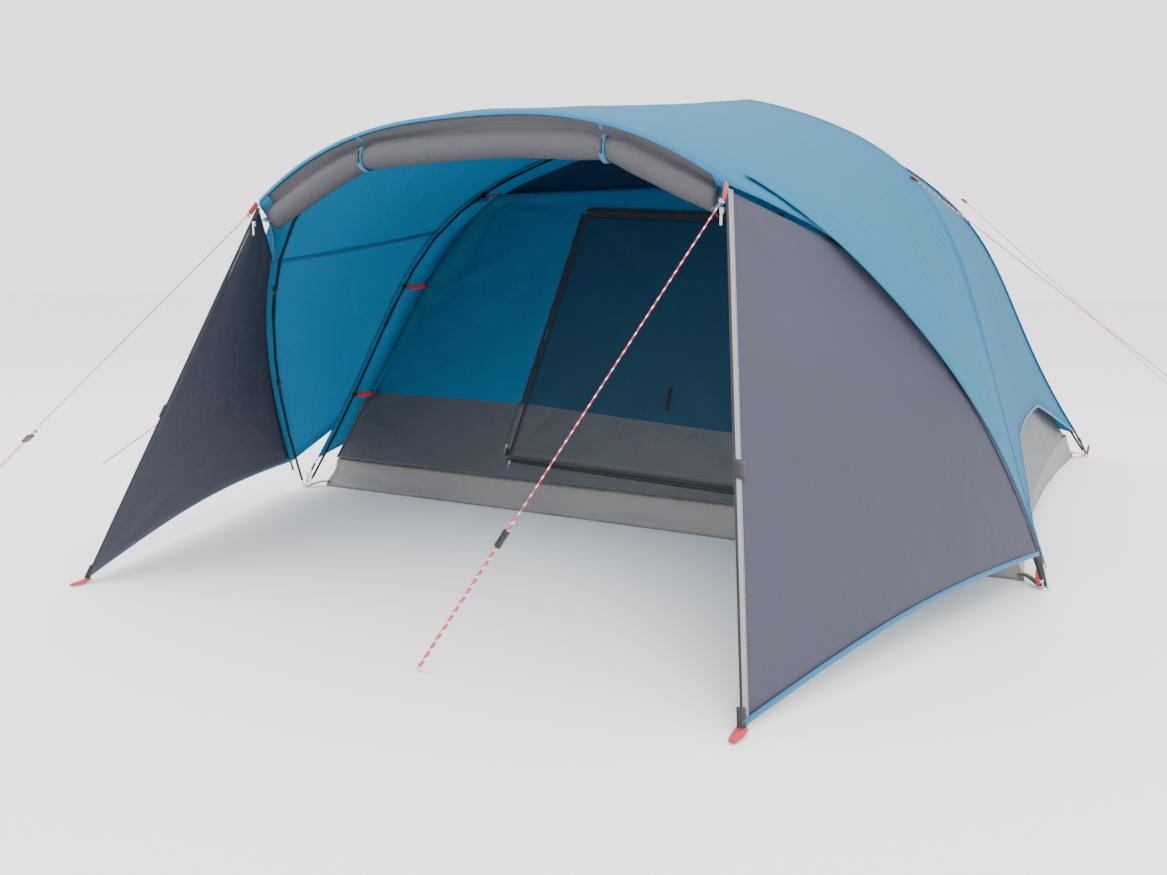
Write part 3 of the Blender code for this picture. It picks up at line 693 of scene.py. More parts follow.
repeatTree = makeRepeatTree()


def repeatAlong(name, paths, item, spacing, material, spread=0.0):
    mesh = bpy.data.meshes.new(name + "_path")
    verts, edges, normals = [], [], []
    for path, outwards in paths:
        first = len(verts)
        verts += [tuple(point) for point in path]
        normals += [tuple(normal) for normal in outwards]
        edges += [(first + k, first + k + 1) for k in range(len(path) - 1)]
    mesh.from_pydata(verts, edges, [])
    attribute = mesh.attributes.new("outward", "FLOAT_VECTOR", "POINT")
    for k, normal in enumerate(normals):
        attribute.data[k].vector = normal
    guide = bpy.data.objects.new(name + "_guide", mesh)
    bpy.context.scene.collection.objects.link(guide)
    modifier = guide.modifiers.new("copies", "NODES")
    modifier.node_group = repeatTree
    values = {"Item": item, "Spacing": spacing, "Size Spread": spread, "Material": material}
    for socket in repeatTree.interface.items_tree:
        if socket.in_out == "INPUT" and socket.name in values:
            modifier[socket.identifier] = values[socket.name]
    made = bpy.data.meshes.new_from_object(guide.evaluated_get(bpy.context.evaluated_depsgraph_get()))
    bpy.data.objects.remove(guide, do_unlink=True)
    made.name = name
    if not made.materials:
        made.materials.append(material)
    piece = bpy.data.objects.new(name, made)
    bpy.context.scene.collection.objects.link(piece)
    return piece


def stitchItem():
    shape = bmesh.new()
    bmesh.ops.create_cube(shape, size=1.0, matrix=Matrix.Diagonal((0.0042, 0.0008, 0.0006, 1)))
    ends = [vert for vert in shape.verts if vert.co.z > 0]
    for vert in ends:
        vert.co.x *= 0.6
    return itemFromShape("stitch", shape, blackTape)


def toothItem():
    shape = bmesh.new()
    for side, shift in ((-1, 0.0), (1, 0.00125)):
        place = Matrix.Translation((shift, side * 0.0011, 0.0006))
        bmesh.ops.create_cube(shape, size=1.0,
                              matrix=place @ Matrix.Diagonal((0.0011, 0.0030, 0.0012, 1)))
    return itemFromShape("zip_teeth", shape, coilPlastic)


stitch = stitchItem()
teeth = toothItem()


# Guy lines

guyLook = {"diameter": 0.0032, "gap": 0.010, "tail": 0.020, "runnerLength": 0.038,
           "lowest": 0.0035, "sides": 10}
guyLines = {
    "porch_right": ((0.65476, -1.900, 0.925), (0.220, -2.347, 0.004), 0.73),
    "porch_left": ((-0.65476, -1.900, 0.925), (-2.000, -1.950, 0.004), 0.73),
    "front_left": ((-0.78492, -0.72162, 1.05984), (-2.260, -1.240, 0.004), 0.76),
    "front_right": ((0.78492, -0.72162, 1.05984), (2.020, 0.750, 0.004), 0.78),
    "rear_right": ((0.72168, 0.66234, 1.10016), (1.830, 2.200, 0.004), 0.78),
}


def guyPath(start, end, runnerShare):
    start, end = Vector(start), Vector(end)
    along = (end - start).normalized()
    aside = along.cross(Vector((0, 0, 1))).normalized()
    length = (end - start).length
    turn = guyLook["gap"] / 2
    pegSide = start + along * (length - turn)
    points = [start.lerp(pegSide, k / 24) for k in range(25)]
    centre = pegSide + aside * turn
    for k in range(1, 12):
        angle = math.pi * k / 12
        points.append(centre - aside * turn * math.cos(angle) + along * turn * math.sin(angle))
    backStart = pegSide + aside * guyLook["gap"]
    runnerAt = start + along * length * runnerShare
    backEnd = runnerAt + aside * guyLook["gap"]
    backEnd -= along * (guyLook["runnerLength"] / 2 + guyLook["tail"])
    points += [backStart.lerp(backEnd, k / 10) for k in range(11)]
    for point in points:
        point.z = max(point.z, guyLook["lowest"])
    return points, along


def overhandKnot(name, centre, along, size, material):
    points = []
    for k in range(49):
        a = 2 * math.pi * k / 48
        spot = Vector((math.sin(a) + 2 * math.sin(2 * a), math.cos(a) - 2 * math.cos(2 * a),
                       -math.sin(3 * a) * 1.2))
        points.append(spot * size)
    turn = along.to_track_quat("Z", "Y").to_matrix()
    points = [centre + turn @ point for point in points]
    return sweep(name, points, roundProfile(0.0013, 7), [material])


def makeGuy(key, start, end, share):
    points, along = guyPath(start, end, share)
    cord = sweep("guyCord_" + key, points, roundProfile(guyLook["diameter"] / 2, guyLook["sides"]),
                 [guyCord])
    knot = overhandKnot("guyKnot_" + key, points[-1] - along * 0.003, along, 0.0013, guyCord)
    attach(cord, "root")
    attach(knot, "root")
    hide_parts("guy_" + key)


for guyKey, (guyStart, guyEnd, guyShare) in guyLines.items():
    makeGuy(guyKey, guyStart, guyEnd, guyShare)
print("guy lines ready")


# Flysheet

eave = {"half": 0.64976, "top": tent["porchHeight"] - 0.005, "drop": 0.175, "power": 2.6,
        "spread": 1.15, "flange": 0.012}
canopy = {"across": 46, "deep": 30, "sag": 0.004, "topShare": 0.985,
          "gap": -0.0012,    # the panels are sewn, so they cross at a pole
         
          "folds": {"billow": 0.003, "crease": 0.004, "small": 0.0006,
                    "fans": ((0.10, 0.24, 0.16, 15, 0.0035), (0.10, 0.76, 0.16, 15, 0.0035),
                             (1.0, 0.02, 0.20, 12, 0.004), (1.0, 0.98, 0.20, 12, 0.004)),
                    "puckers": (("high", 0.060, 0.035, 0.0016), ("left", 0.05, 0.02, 0.0012),
                                ("right", 0.05, 0.02, 0.0012))}}
sidePanel = {"rows": 44, "columns": 34, "bow": 0.02, "bowHeight": 0.45, "steepness": 1.35,
             "folds": {"billow": 0.004, "crease": 0.005, "small": 0.0007,
                       "fans": ((0.03, 0.0, 0.22, 14, 0.004), (0.03, 1.0, 0.22, 14, 0.004),
                                (0.62, 0.0, 0.12, 11, 0.003), (0.62, 1.0, 0.12, 11, 0.003)),
                       "puckers": (("left", 0.055, 0.03, 0.0014), ("right", 0.055, 0.03, 0.0014),
                                   ("low", 0.07, 0.03, 0.0018))}}


def eavePoint(x):
    share = min(abs(x) / eave["half"], 1.0)
    return Vector((x, tent["eaveY"], eave["top"] - eave["drop"] * share ** eave["power"]))


def canopyEdge(side, t):
    alongPole = legPoint("porch", side, t, tent["skin"]) + Vector((0, -eave["flange"], 0))
    low, high = tent["shoulderLow"], tent["shoulderHigh"]
    if t <= low:
        return alongPole
    share = max(0.0, (t - high) / (1.0 - high))
    if t >= high:
        return eavePoint(side * eave["half"] * (1.0 - share ** eave["spread"]))
    return alongPole.lerp(eavePoint(side * eave["half"]), softStep(low, high, t))


def pulledIn(a, b, gap):
    step = (b - a).normalized() * gap
    return a + step, b - step


def canopyRows():
    low = legShareAt("porch", 1, tent["flyLow"], tent["skin"])
    count = canopy["across"]
    half = [low + (1.0 - low) * k / count for k in range(count + 1)]
    columns = [(-1, t) for t in half] + [(1, t) for t in reversed(half[:-1])]
    rows = []
    for e in (0.0, 0.25, 0.5, 0.75):
        rows.append([canopyEdge(side, t).lerp(legPoint("porch", side, t, tent["skin"]), e)
                     for side, t in columns])
    for k in range(canopy["deep"] + 1):
        v = k / canopy["deep"]
        row = []
        for side, t in columns:
            front = legPoint("porch", side, t, tent["skin"])
            back = legPoint("front", side, min(t, canopy["topShare"]), tent["skin"])
            back = pulledIn(front, back, canopy["gap"])[1]
            sag = canopy["sag"] * math.sin(math.pi * v) * t
            row.append(front.lerp(back, v) - Vector((0, 0, sag)))
        rows.append(row)
    return rows


def sideRows(near, far):
    rows, columns = sidePanel["rows"], sidePanel["columns"]
    skin = tent["skin"]
    nearLow, farLow = (legShareAt(*leg, tent["flyLow"], skin) for leg in (near, far))
    nearCut, farCut = (legShareAt(*leg, tent["flyCut"], skin) for leg in (near, far))
    middle = Vector((0, 0, sidePanel["bowHeight"]))
    grid = []
    for r in range(rows + 1):
        v = r / rows
        row = []
        for c in range(columns + 1):
            u = c / columns
            arch = min(1.0, math.sin(math.pi * u) * sidePanel["steepness"])
            nearT = nearLow + (nearCut - nearLow) * arch
            farT = farLow + (farCut - farLow) * arch
            a = legPoint(*near, nearT + (canopy["topShare"] - nearT) * v, skin)
            b = legPoint(*far, farT + (canopy["topShare"] - farT) * v, skin)
            a, b = pulledIn(a, b, canopy["gap"])
            point = a.lerp(b, u)
            inward = (middle - point).normalized()
            row.append(point + inward * sidePanel["bow"] * math.sin(math.pi * u) * (a - b).length)
        grid.append(row)
    return grid


def edgeNormals(path, centre):
    return [(point - Vector(centre)).normalized() for point in path]


def makeCanopy():
    rows = canopyRows()
    cloth, cut = clothPiece("canopyCloth", rows, [flyCloth], canopy["folds"], 3, -1)
    binding = sweep("canopyBinding", [point + Vector((0, -0.001, 0)) for point in rows[0]],
                    tapeProfile(0.009, 0.0022), [blueTape],
                    [Vector((0, -1, 0.2))] * len(rows[0]))
    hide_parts("porch_canopy")
    for piece in (cloth, binding):
        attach(piece, "root")
    hangCloth(cloth, cut)


def makeSide(name, near, far, node, seed, facing):
    rows = sideRows(near, far)
    cloth, cut = clothPiece(name + "Cloth", rows, [flyCloth], sidePanel["folds"], seed, facing)
    normals = edgeNormals(rows[0], (0, 0, 0.2))
    binding = sweep(name + "Binding", rows[0], tapeProfile(0.010, 0.0024), [seamCloth], normals)
    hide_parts(node)
    for piece in (cloth, binding):
        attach(piece, "root")
    hangCloth(cloth, cut)


makeCanopy()
makeSide("flyRight", ("front", 1), ("rear", 1), "fly_right_side", 5,
         1)
makeSide("flyLeft", ("front", -1), ("rear", -1), "fly_left_side", 7,
         -1)
makeSide("flyRear", ("rear", -1), ("rear", 1), "fly_rear", 9,
         -1)
print("flysheet ready")


# Seams over the poles, their stitches and the canopy's side seams

seams = {"width": 0.017, "lift": 0.0020, "stitchSpacing": 0.0075, "stitchInset": 0.006,
         "porchShare": 0.478, "domeShare": 0.355}


def legRun(kind, side, low, high, off, count=70):
    return [legPoint(kind, side, low + (high - low) * k / count, off) for k in range(count + 1)]


def legNormals(kind, side, low, high, count=70):
    normals = []
    for k in range(count + 1):
        t = low + (high - low) * k / count
        normals.append((legPoint(kind, side, t, 0.01) - legPoint(kind, side, t)).normalized())
    return normals


def makeSeams():
    stitchPaths = []
    for kind in ("front", "rear"):
        for side in (-1, 1):
            low = legShareAt(kind, side, tent["flyLow"] + 0.004, tent["skin"])
            path = legRun(kind, side, low, 0.985, tent["skin"] + seams["lift"])
            normals = legNormals(kind, side, low, 0.985)
            word = kind + ("Left" if side < 0 else "Right")
            tape = sweep("domeSeam_" + word, path, tapeProfile(seams["width"], 0.0016),
                         [flyCloth], normals)
            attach(tape, "root")
            for turn in (-1, 1):
                shifted = []
                for point, _, across, normal in pathFrames(path, normals):
                    shifted.append(point + across * turn * seams["stitchInset"] + normal * 0.0009)
                stitchPaths.append((shifted, normals))
    for side in (-1, 1):
        start = legPoint("porch", side, seams["porchShare"], tent["skin"])
        end = legPoint("front", side, seams["domeShare"], tent["skin"])
        path = []
        for k in range(31):
            v = k / 30
            t = seams["porchShare"] + (seams["domeShare"] - seams["porchShare"]) * v
            front = legPoint("porch", side, t, tent["skin"])
            back = legPoint("front", side, t, tent["skin"])
            path.append(front.lerp(back, v))
        inward = Vector((-side, 0.1, -0.3)).normalized()
        word = "Left" if side < 0 else "Right"
        path[0], path[-1] = start, end
        tape = sweep("canopySeam_" + word, [point + inward * 0.0055 for point in path],
                     tapeProfile(0.013, 0.0016), [seamCloth], [inward] * len(path))
        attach(tape, "root")
    stitches = repeatAlong("flySeamStitches", stitchPaths, stitch, seams["stitchSpacing"],
                           seamCloth, 0.15)
    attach(stitches, "root")


makeSeams()
print("fly seams ready")


# Wings

wing = {"footInset": 0.38, "reach": 1.15, "footHeight": 0.012, "belowEave": 0.014,
        "belowShoulder": 0.01, "gap": 0.004, "hemArch": 0.035, "hollow": 0.02,
        "rows": 46, "columns": 34, "stripWidth": 0.016, "piping": 0.0026, "hem": 0.012,
        "folds": {"billow": 0.004, "crease": 0.004, "small": 0.0006,
                  "fans": ((1.0, 0.0, 0.24, 9, 0.0060), (0.0, 0.0, 0.22, 10, 0.005),
                           (0.0, 1.0, 0.20, 12, 0.0045)),
                  "puckers": (("right", 0.050, 0.035, 0.0022), ("left", 0.09, 0.02, 0.0012))}}


def wingFoot(side):
    return Vector((side * (tent["halfWidth"] - wing["footInset"]), -tent["halfDepth"] - wing["reach"],
                   wing["footHeight"]))


def wingTop(side):
    return eavePoint(side * eave["half"]) - Vector((0, 0, wing["belowEave"]))


def wingRows(side):
    low = legShareAt("porch", side, tent["flyLow"], tent["skin"])
    high = tent["shoulderLow"] - wing["belowShoulder"]
    grid = []
    for r in range(wing["rows"] + 1):
        v = r / wing["rows"]
        front = wingFoot(side).lerp(wingTop(side), v)
        pole = legPoint("porch", side, low + (high - low) * v, tent["skin"])
        pole += Vector((0, -eave["flange"] - wing["gap"], 0))
        row = []
        for c in range(wing["columns"] + 1):
            u = c / wing["columns"]
            lift = wing["hemArch"] * math.sin(math.pi * u) * (1 - v) ** 3
            inward = -side * wing["hollow"] * math.sin(math.pi * u) * math.sin(math.pi * v)
            row.append(front.lerp(pole, u) + Vector((inward, 0, lift)))
        grid.append(row)
    return grid


def makeWing(side):
    word = "Left" if side < 0 else "Right"
    rows = wingRows(side)
    cloth, cut = clothPiece("wingCloth" + word, rows, [wingCloth], wing["folds"], 12 + side, side)
    outward = Vector((side, -0.45, 0.1)).normalized()
    edge = [row[0] for row in rows]
    edgeOut = [outward] * len(edge)
    toPole = (rows[20][3] - rows[20][0]).normalized()
    strip = sweep("wingStrip" + word, [p + toPole * 0.008 + outward * 0.0016 for p in edge],
                  tapeProfile(wing["stripWidth"], 0.0016), [paleTape], edgeOut)
    piping = sweep("wingPiping" + word, [p + outward * 0.001 - toPole * 0.001 for p in edge],
                   roundProfile(wing["piping"], 10), [blackTape], edgeOut)
    hemPath = [p + Vector((0, 0, 0.003)) for p in rows[0]]
    hem = sweep("wingHem" + word, hemPath, tapeProfile(wing["hem"], 0.0034), [blueTape],
                [outward] * len(hemPath))
    polePath = [row[-1] + outward * 0.0012 for row in rows]
    lap = sweep("wingLap" + word, polePath, tapeProfile(0.012, 0.0018), [wingCloth],
                [outward] * len(polePath))
    hemStitch = [p + outward * 0.0020 + Vector((0, 0, 0.003)) for p in hemPath]
    edgeStitch = [p + toPole * 0.0135 + outward * 0.0027 for p in edge]
    stitches = repeatAlong("wingStitches" + word, [(hemStitch, [outward] * len(hemStitch)),
                                                   (edgeStitch, [outward] * len(edgeStitch))],
                           stitch, 0.0075, seamCloth, 0.15)
    tabAt = edge[20] + outward * 0.0045 + toPole * 0.010
    tabRun = [tabAt + (edge[21] - edge[20]).normalized() * d for d in (-0.018, -0.009, 0.0, 0.009, 0.018)]
    tab = sweep("wingTab" + word, tabRun, tapeProfile(0.030, 0.0024), [blackTape],
                [outward] * len(tabRun))
    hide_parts("wing_left" if side < 0 else "wing_right")
    pieces = [strip, piping, hem, lap, stitches, tab]
    for piece in [cloth] + pieces:
        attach(piece, "root")
    hangCloth(cloth, cut)
    foot = wingFoot(side)
    loop = [foot + Vector((0, dy, dz)) for dy, dz in
            ((0.004, 0.006), (-0.010, 0.004), (-0.024, 0.0028), (-0.038, 0.0028), (-0.048, 0.0018))]
    loop = [Vector((p.x, max(p.y, cadBounds[0][1] + 0.002), max(p.z - 0.010, 0.0024))) for p in loop]
    tongue = sweep("wingFootLoop" + word, loop, tapeProfile(0.022, 0.0030), [redWebbing],
                   [Vector((0, 0, 1))] * len(loop), [1.0, 1.05, 1.0, 0.85, 0.55])
    cap = [foot + Vector((0, 0, 0.002)) + (edge[1] - edge[0]).normalized() * d
           for d in (-0.004, 0.006, 0.016, 0.030)]
    cuff = sweep("wingFootCuff" + word, cap, tapeProfile(0.024, 0.0060), [blackTape],
                 [outward] * len(cap))
    for piece in (tongue, cuff):
        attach(piece, "root")


lapLook = {"low": 0.03, "high": 0.64, "wide": 0.060, "narrow": 0.010, "lift": 0.0045}


def makeLapFlap(side):
    word = "Left" if side < 0 else "Right"
    grid = []
    for r in range(41):
        t = lapLook["low"] + (lapLook["high"] - lapLook["low"]) * r / 40
        wide = lapLook["narrow"] + (lapLook["wide"] - lapLook["narrow"]) * softStep(0.16, 0.46, t)
        start = legPoint("porch", side, t, tent["skin"] + lapLook["lift"])
        row = []
        for c in range(7):
            out = Vector((side * 0.0012 * math.sin(math.pi * c / 6), 0, 0))
            step = Vector((-side * 0.10, -1.0, -0.05)) * (wide * c / 6)
            row.append(start + Vector((0, -0.004, 0)) + step + out)
        grid.append(row)
    flap, cut = clothPiece("wingLapFlap" + word, grid, [flyCloth],
                           {"billow": 0.001, "crease": 0.002, "small": 0.0004}, 80 + side, side)
    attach(flap, "root")
    hangCloth(flap, cut)


makeWing(-1)
makeWing(1)
makeLapFlap(-1)
makeLapFlap(1)
print("wings ready")


# Rolled porch door: a sheet wound in a spiral, hung from the eave and tied up

roll = {"radius": 0.034, "core": 0.005, "turns": 9, "stepsPerTurn": 14, "columns": 64,
        "drop": 0.052, "back": 0.035, "endGap": 0.03, "ties": (-0.31, 0.36), "pinch": 0.22,
        "slump": 0.010}


def rollSize(x):
    pinched = sum(math.exp(-((x - tie) / 0.035) ** 2) for tie in roll["ties"])
    ends = softStep(0.0, 0.10, eave["half"] - roll["endGap"] - abs(x))
    return (0.93 + 0.07 * ends) * (1.0 - roll["pinch"] * min(1.0, pinched))


def rollCentre(x):
    pinched = min(1.0, sum(math.exp(-((x - tie) / 0.10) ** 2) for tie in roll["ties"]))
    slump = roll["slump"] * (1.0 - pinched) * softStep(0.0, 0.12, eave["half"] - abs(x))
    return eavePoint(x) + Vector((0, roll["back"], -roll["drop"] - slump))


def rollRows():
    steps = roll["turns"] * roll["stepsPerTurn"]
    grid = []
    xs = [(k / roll["columns"] * 2 - 1) * (eave["half"] - roll["endGap"])
          for k in range(roll["columns"] + 1)]
    for share in (0.0, 0.25, 0.5, 0.75):
        row = []
        for x in xs:
            hung = eavePoint(x) + Vector((0, 0.006, -0.004))
            edge = rollCentre(x) + Vector((0, -0.3, 0.95)) * roll["radius"] * rollSize(x)
            row.append(hung.lerp(edge, share))
        grid.append(row)
    for k in range(steps + 1):
        turn = k / roll["stepsPerTurn"] * 2 * math.pi
        radius = roll["radius"] + (roll["core"] - roll["radius"]) * k / steps
        row = []
        for x in xs:
            bunched = sum(math.exp(-((x - tie) / 0.09) ** 2) for tie in roll["ties"])
            flutter = 1.0 + 0.05 * noise.noise(Vector((x * 9, turn * 0.5, 2.0)))
            flutter += 0.045 * bunched * math.sin(turn * 5 + x * 30)
            angle = turn + 1.26 + 0.15 * math.sin(x * 7)
            spot = Vector((0, -math.sin(angle - 0.95), math.cos(angle - 0.95)))
            row.append(rollCentre(x) + spot * radius * rollSize(x) * flutter)
        grid.append(row)
    return grid


def makeRoll():
    rows = rollRows()
    folds = {"billow": 0.0, "crease": 0.0, "small": 0.0}
    cloth, cut = clothPiece("rolledDoorCloth", rows, [rollCloth], folds, 21, 1, None, 0.0007)
    pieces = []
    outer = rows[4:4 + roll["stepsPerTurn"] + 1]
    for word, column in (("Left", 0), ("Right", -1)):
        rim = [row[column] for row in outer]
        pieces.append(sweep("rollEndBinding" + word, rim, roundProfile(0.0028, 8), [blackTape],
                            [(p - rollCentre(p.x)).normalized() for p in rim]))
    for k, tie in enumerate(roll["ties"]):
        path, normals = [], []
        for step in range(29):
            angle = 2 * math.pi * step / 28
            out = Vector((0, -math.sin(angle), math.cos(angle)))
            path.append(rollCentre(tie) + out * (roll["radius"] * rollSize(tie) * 1.04 + 0.0018))
            normals.append(out)
        pieces.append(sweep(f"rollTie_{k + 1}", path, tapeProfile(0.014, 0.0020), [blueTape], normals))
        top = rollCentre(tie) + Vector((0, -0.004, roll["radius"] * rollSize(tie)))
        hanger = [top.lerp(eavePoint(tie) + Vector((0, 0.003, -0.003)), s) for s in (0, 0.35, 0.7, 1)]
        pieces.append(sweep(f"rollTieHanger_{k + 1}", hanger, tapeProfile(0.014, 0.0020), [blueTape],
                            [Vector((0, -1, 0.2))] * 4))
        front = rollCentre(tie) + Vector((0, -roll["radius"] * rollSize(tie) - 0.0060, 0.004))
        peg = [front + Vector((0, 0, d)) for d in (-0.017, -0.012, 0.0, 0.012, 0.017)]
        pieces.append(sweep(f"rollToggle_{k + 1}", peg, roundProfile(0.0042, 10), [blackPlastic],
                            [Vector((0, -1, 0))] * 5, [0.6, 1.0, 0.75, 1.0, 0.6]))
    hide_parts("rolled_porch_door")
    for piece in [cloth] + pieces:
        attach(piece, "root")
    hangCloth(cloth, cut)
    for side, word in ((-1, "Left"), (1, "Right")):
        grid = []
        inner = side * (eave["half"] - roll["endGap"] - 0.004)
        for r in range(9):
            v = r / 8
            row = []
            for c in range(9):
                u = c / 8
                x = inner + (side * eave["half"] - inner) * u * (1 - 0.25 * v)
                fallen = eavePoint(x) + Vector((0, 0.002 + 0.030 * math.sin(math.pi * v), 0))
                row.append(fallen - Vector((0, 0, 0.004 + 0.072 * v * (1 - 0.35 * u))))
            grid.append(row)
        flap, cut = clothPiece("eaveFlap" + word, grid, [flyCloth],
                               {"billow": 0.002, "crease": 0.004, "small": 0.001,
                                "fans": ((0.0, 1.0, 0.05, 9, 0.003),)}, 30 + side, side)
        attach(flap, "root")
        hangCloth(flap, cut)


makeRoll()
print("rolled door ready")


# Inner tent

inner = {"tubHeight": 0.10, "tubInset": 0.050, "tubDraw": 0.055, "frontDraw": 0.0165,
         "tubLean": 0.03, "wallTop": tent["crossing"] - 0.37, "lean": 0.385, "setback": 0.035,
         "margin": 0.022, "apex": tent["crossing"] - 0.055,
         "bandLeft": 0.345, "bandRight": 0.30, "bandSide": 0.315,
         "edgeWidth": 0.105, "edgeColumns": 5, "bandRow": 8, "doorGap": 0.003}
doorCorners = {"leftTop": (-0.30, inner["wallTop"] - 0.085), "leftLow": (-0.42, 0.175),
               "rightLow": (0.47, 0.150), "rightTop": (0.40, inner["wallTop"] - 0.125)}


def wallPoint(x, z, out=0.0):
    angle = math.atan(inner["lean"])
    y = -tent["halfDepth"] + inner["setback"] + z * inner["lean"]
    return Vector((x, y - out * math.cos(angle), z + out * math.sin(angle)))


wallNormal = (wallPoint(0, 0, 1) - wallPoint(0, 0)).normalized()


def wallEdge(z):
    share = legShareAt("front", 1, z, -tent["hang"])
    return legPoint("front", 1, share, -tent["hang"]).x - inner["margin"]


def mix(a, b, t):
    return a[0] + (b[0] - a[0]) * t, a[1] + (b[1] - a[1]) * t


def doorSide(which, t):
    return mix(doorCorners[which + "Low"], doorCorners[which + "Top"], t)


def bandedLevels(count):
    spans = [(doorCorners[side + "Low"][1], doorCorners[side + "Top"][1], inner["band" + side.title()])
             for side in ("left", "right")]
    levels = []
    for k in range(count + 1):
        pair = []
        for low, high, band in spans:
            share = (band - low) / (high - low)
            over = (k - inner["bandRow"]) / (count - inner["bandRow"])
            pair.append(share * k / inner["bandRow"] if over <= 0 else share + (1 - share) * over)
        levels.append(pair)
    return levels


def edgeStrip(z, doorX, steps):
    swell = math.sin(math.pi * softStep(0.25, 1.55, z))
    side = -1 if doorX < 0 else 1
    start = side * wallEdge(z)
    seam = start - side * max(0.006, inner["edgeWidth"] * swell)
    count = inner["edgeColumns"]
    xs = [start + (seam - start) * c / count for c in range(count)]
    return xs + [seam + (doorX - seam) * c / (steps - count) for c in range(steps - count + 1)]


def makeFrontWall():
    low, top = inner["tubHeight"] + 0.004, inner["wallTop"]
    gap = inner["doorGap"]
    sideSteps, doorSteps, midSteps, lowSteps, topSteps = 22, 26, 34, 6, 6
    rows = []
    kinds = ([("low", k / lowSteps) for k in range(lowSteps)]
             + [("door", pair) for pair in bandedLevels(midSteps)]
             + [("top", k / topSteps) for k in range(1, topSteps + 1)])
    for kind, t in kinds:
        if kind == "door":
            left, right = doorSide("left", t[0]), doorSide("right", t[1])
        elif kind == "low":
            left = mix((doorCorners["leftLow"][0], low), doorCorners["leftLow"], t)
            right = mix((doorCorners["rightLow"][0], low), doorCorners["rightLow"], t)
        else:
            left = mix(doorCorners["leftTop"], (doorCorners["leftTop"][0], top), t)
            right = mix(doorCorners["rightTop"], (doorCorners["rightTop"][0], top), t)
        left = (left[0] - gap, left[1])
        right = (right[0] + gap, right[1])
        row = [wallPoint(x, left[1]) for x in edgeStrip(left[1], left[0], sideSteps)[:-1]]
        row += [wallPoint(*mix(left, right, c / doorSteps)) for c in range(doorSteps)]
        row += [wallPoint(x, right[1]) for x in reversed(edgeStrip(right[1], right[0], sideSteps))]
        rows.append(row)
    folds = {"billow": 0.004, "crease": 0.007, "small": 0.0008,
             "fans": ((0.25, 0.0, 0.24, 11, 0.008), (0.62, 0.0, 0.24, 11, 0.008),
                      (0.98, 0.0, 0.28, 13, 0.008), (0.25, 1.0, 0.24, 11, 0.008),
                      (0.62, 1.0, 0.24, 11, 0.008), (0.98, 1.0, 0.28, 13, 0.008)),
             "puckers": (("low", 0.06, 0.03, 0.002), ("high", 0.05, 0.03, 0.002))}

    columnCount = 2 * sideSteps + doorSteps

    def pick(r, c):
        if r < lowSteps + inner["bandRow"]:
            return 1
        return 2 if min(c, columnCount - 1 - c) < inner["edgeColumns"] else 0

    wall, cut = clothPiece("innerFrontWall", rows, [innerCloth, bandCloth, edgeCloth], folds, 41,
                           1, pick, 0.0008)
    shape = bmesh.new()
    shape.from_mesh(wall.data)
    shape.faces.ensure_lookup_table()
    opened = []
    for r in range(lowSteps, lowSteps + midSteps):
        for c in range(sideSteps, sideSteps + doorSteps):
            opened.append(shape.faces[r * columnCount + c])
    area = sum(face.calc_area() for face in opened)
    bmesh.ops.delete(shape, geom=opened, context="FACES")
    shape.to_mesh(wall.data)
    shape.free()
    cut["area"] -= area
    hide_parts("inner_front_wall")
    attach(wall, "root")
    hangCloth(wall, cut)


def makeDoor():
    rows = []
    for leftShare, rightShare in bandedLevels(40):
        left, right = doorSide("left", leftShare), doorSide("right", rightShare)
        rows.append([wallPoint(*mix(left, right, c / 44)) for c in range(45)])
    folds = {"billow": 0.003, "crease": 0.006, "small": 0.0008,
             "fans": ((1.0, 0.0, 0.25, 12, 0.004), (0.0, 1.0, 0.25, 12, 0.004),
                      (0.0, 0.0, 0.20, 12, 0.003)),
             "puckers": (("left", 0.055, 0.03, 0.0018), ("high", 0.055, 0.03, 0.0018))}

    door, cut = clothPiece("innerDoorCloth", rows, [netCloth, bandCloth], folds, 44, 1,
                           lambda r, c: int(r < inner["bandRow"]), 0.0008)
    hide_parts("inner_door")
    outline = [doorSide("left", 0), doorSide("left", 1), doorSide("right", 1)]
    tapePath = []
    for a, b in zip(outline, outline[1:]):
        tapePath += [wallPoint(*mix(a, b, k / 30), 0.0015) for k in range(31 if b == outline[-1] else 30)]
    binding = sweep("innerDoorBinding", tapePath, tapeProfile(0.010, 0.0016), [blackTape],
                    [wallNormal] * len(tapePath))
    pullRun = [wallPoint(0.12, z, 0.004) for z in (0.355, 0.375, 0.400, 0.425)]
    pull = sweep("innerDoorPull", pullRun, tapeProfile(0.014, 0.0020), [blackTape], [wallNormal] * 4)
    for piece in (binding, pull):
        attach(piece, "inner_door")
    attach(door, "inner_door")
    hangCloth(door, cut)


zipLook = {"pitch": 0.0025}


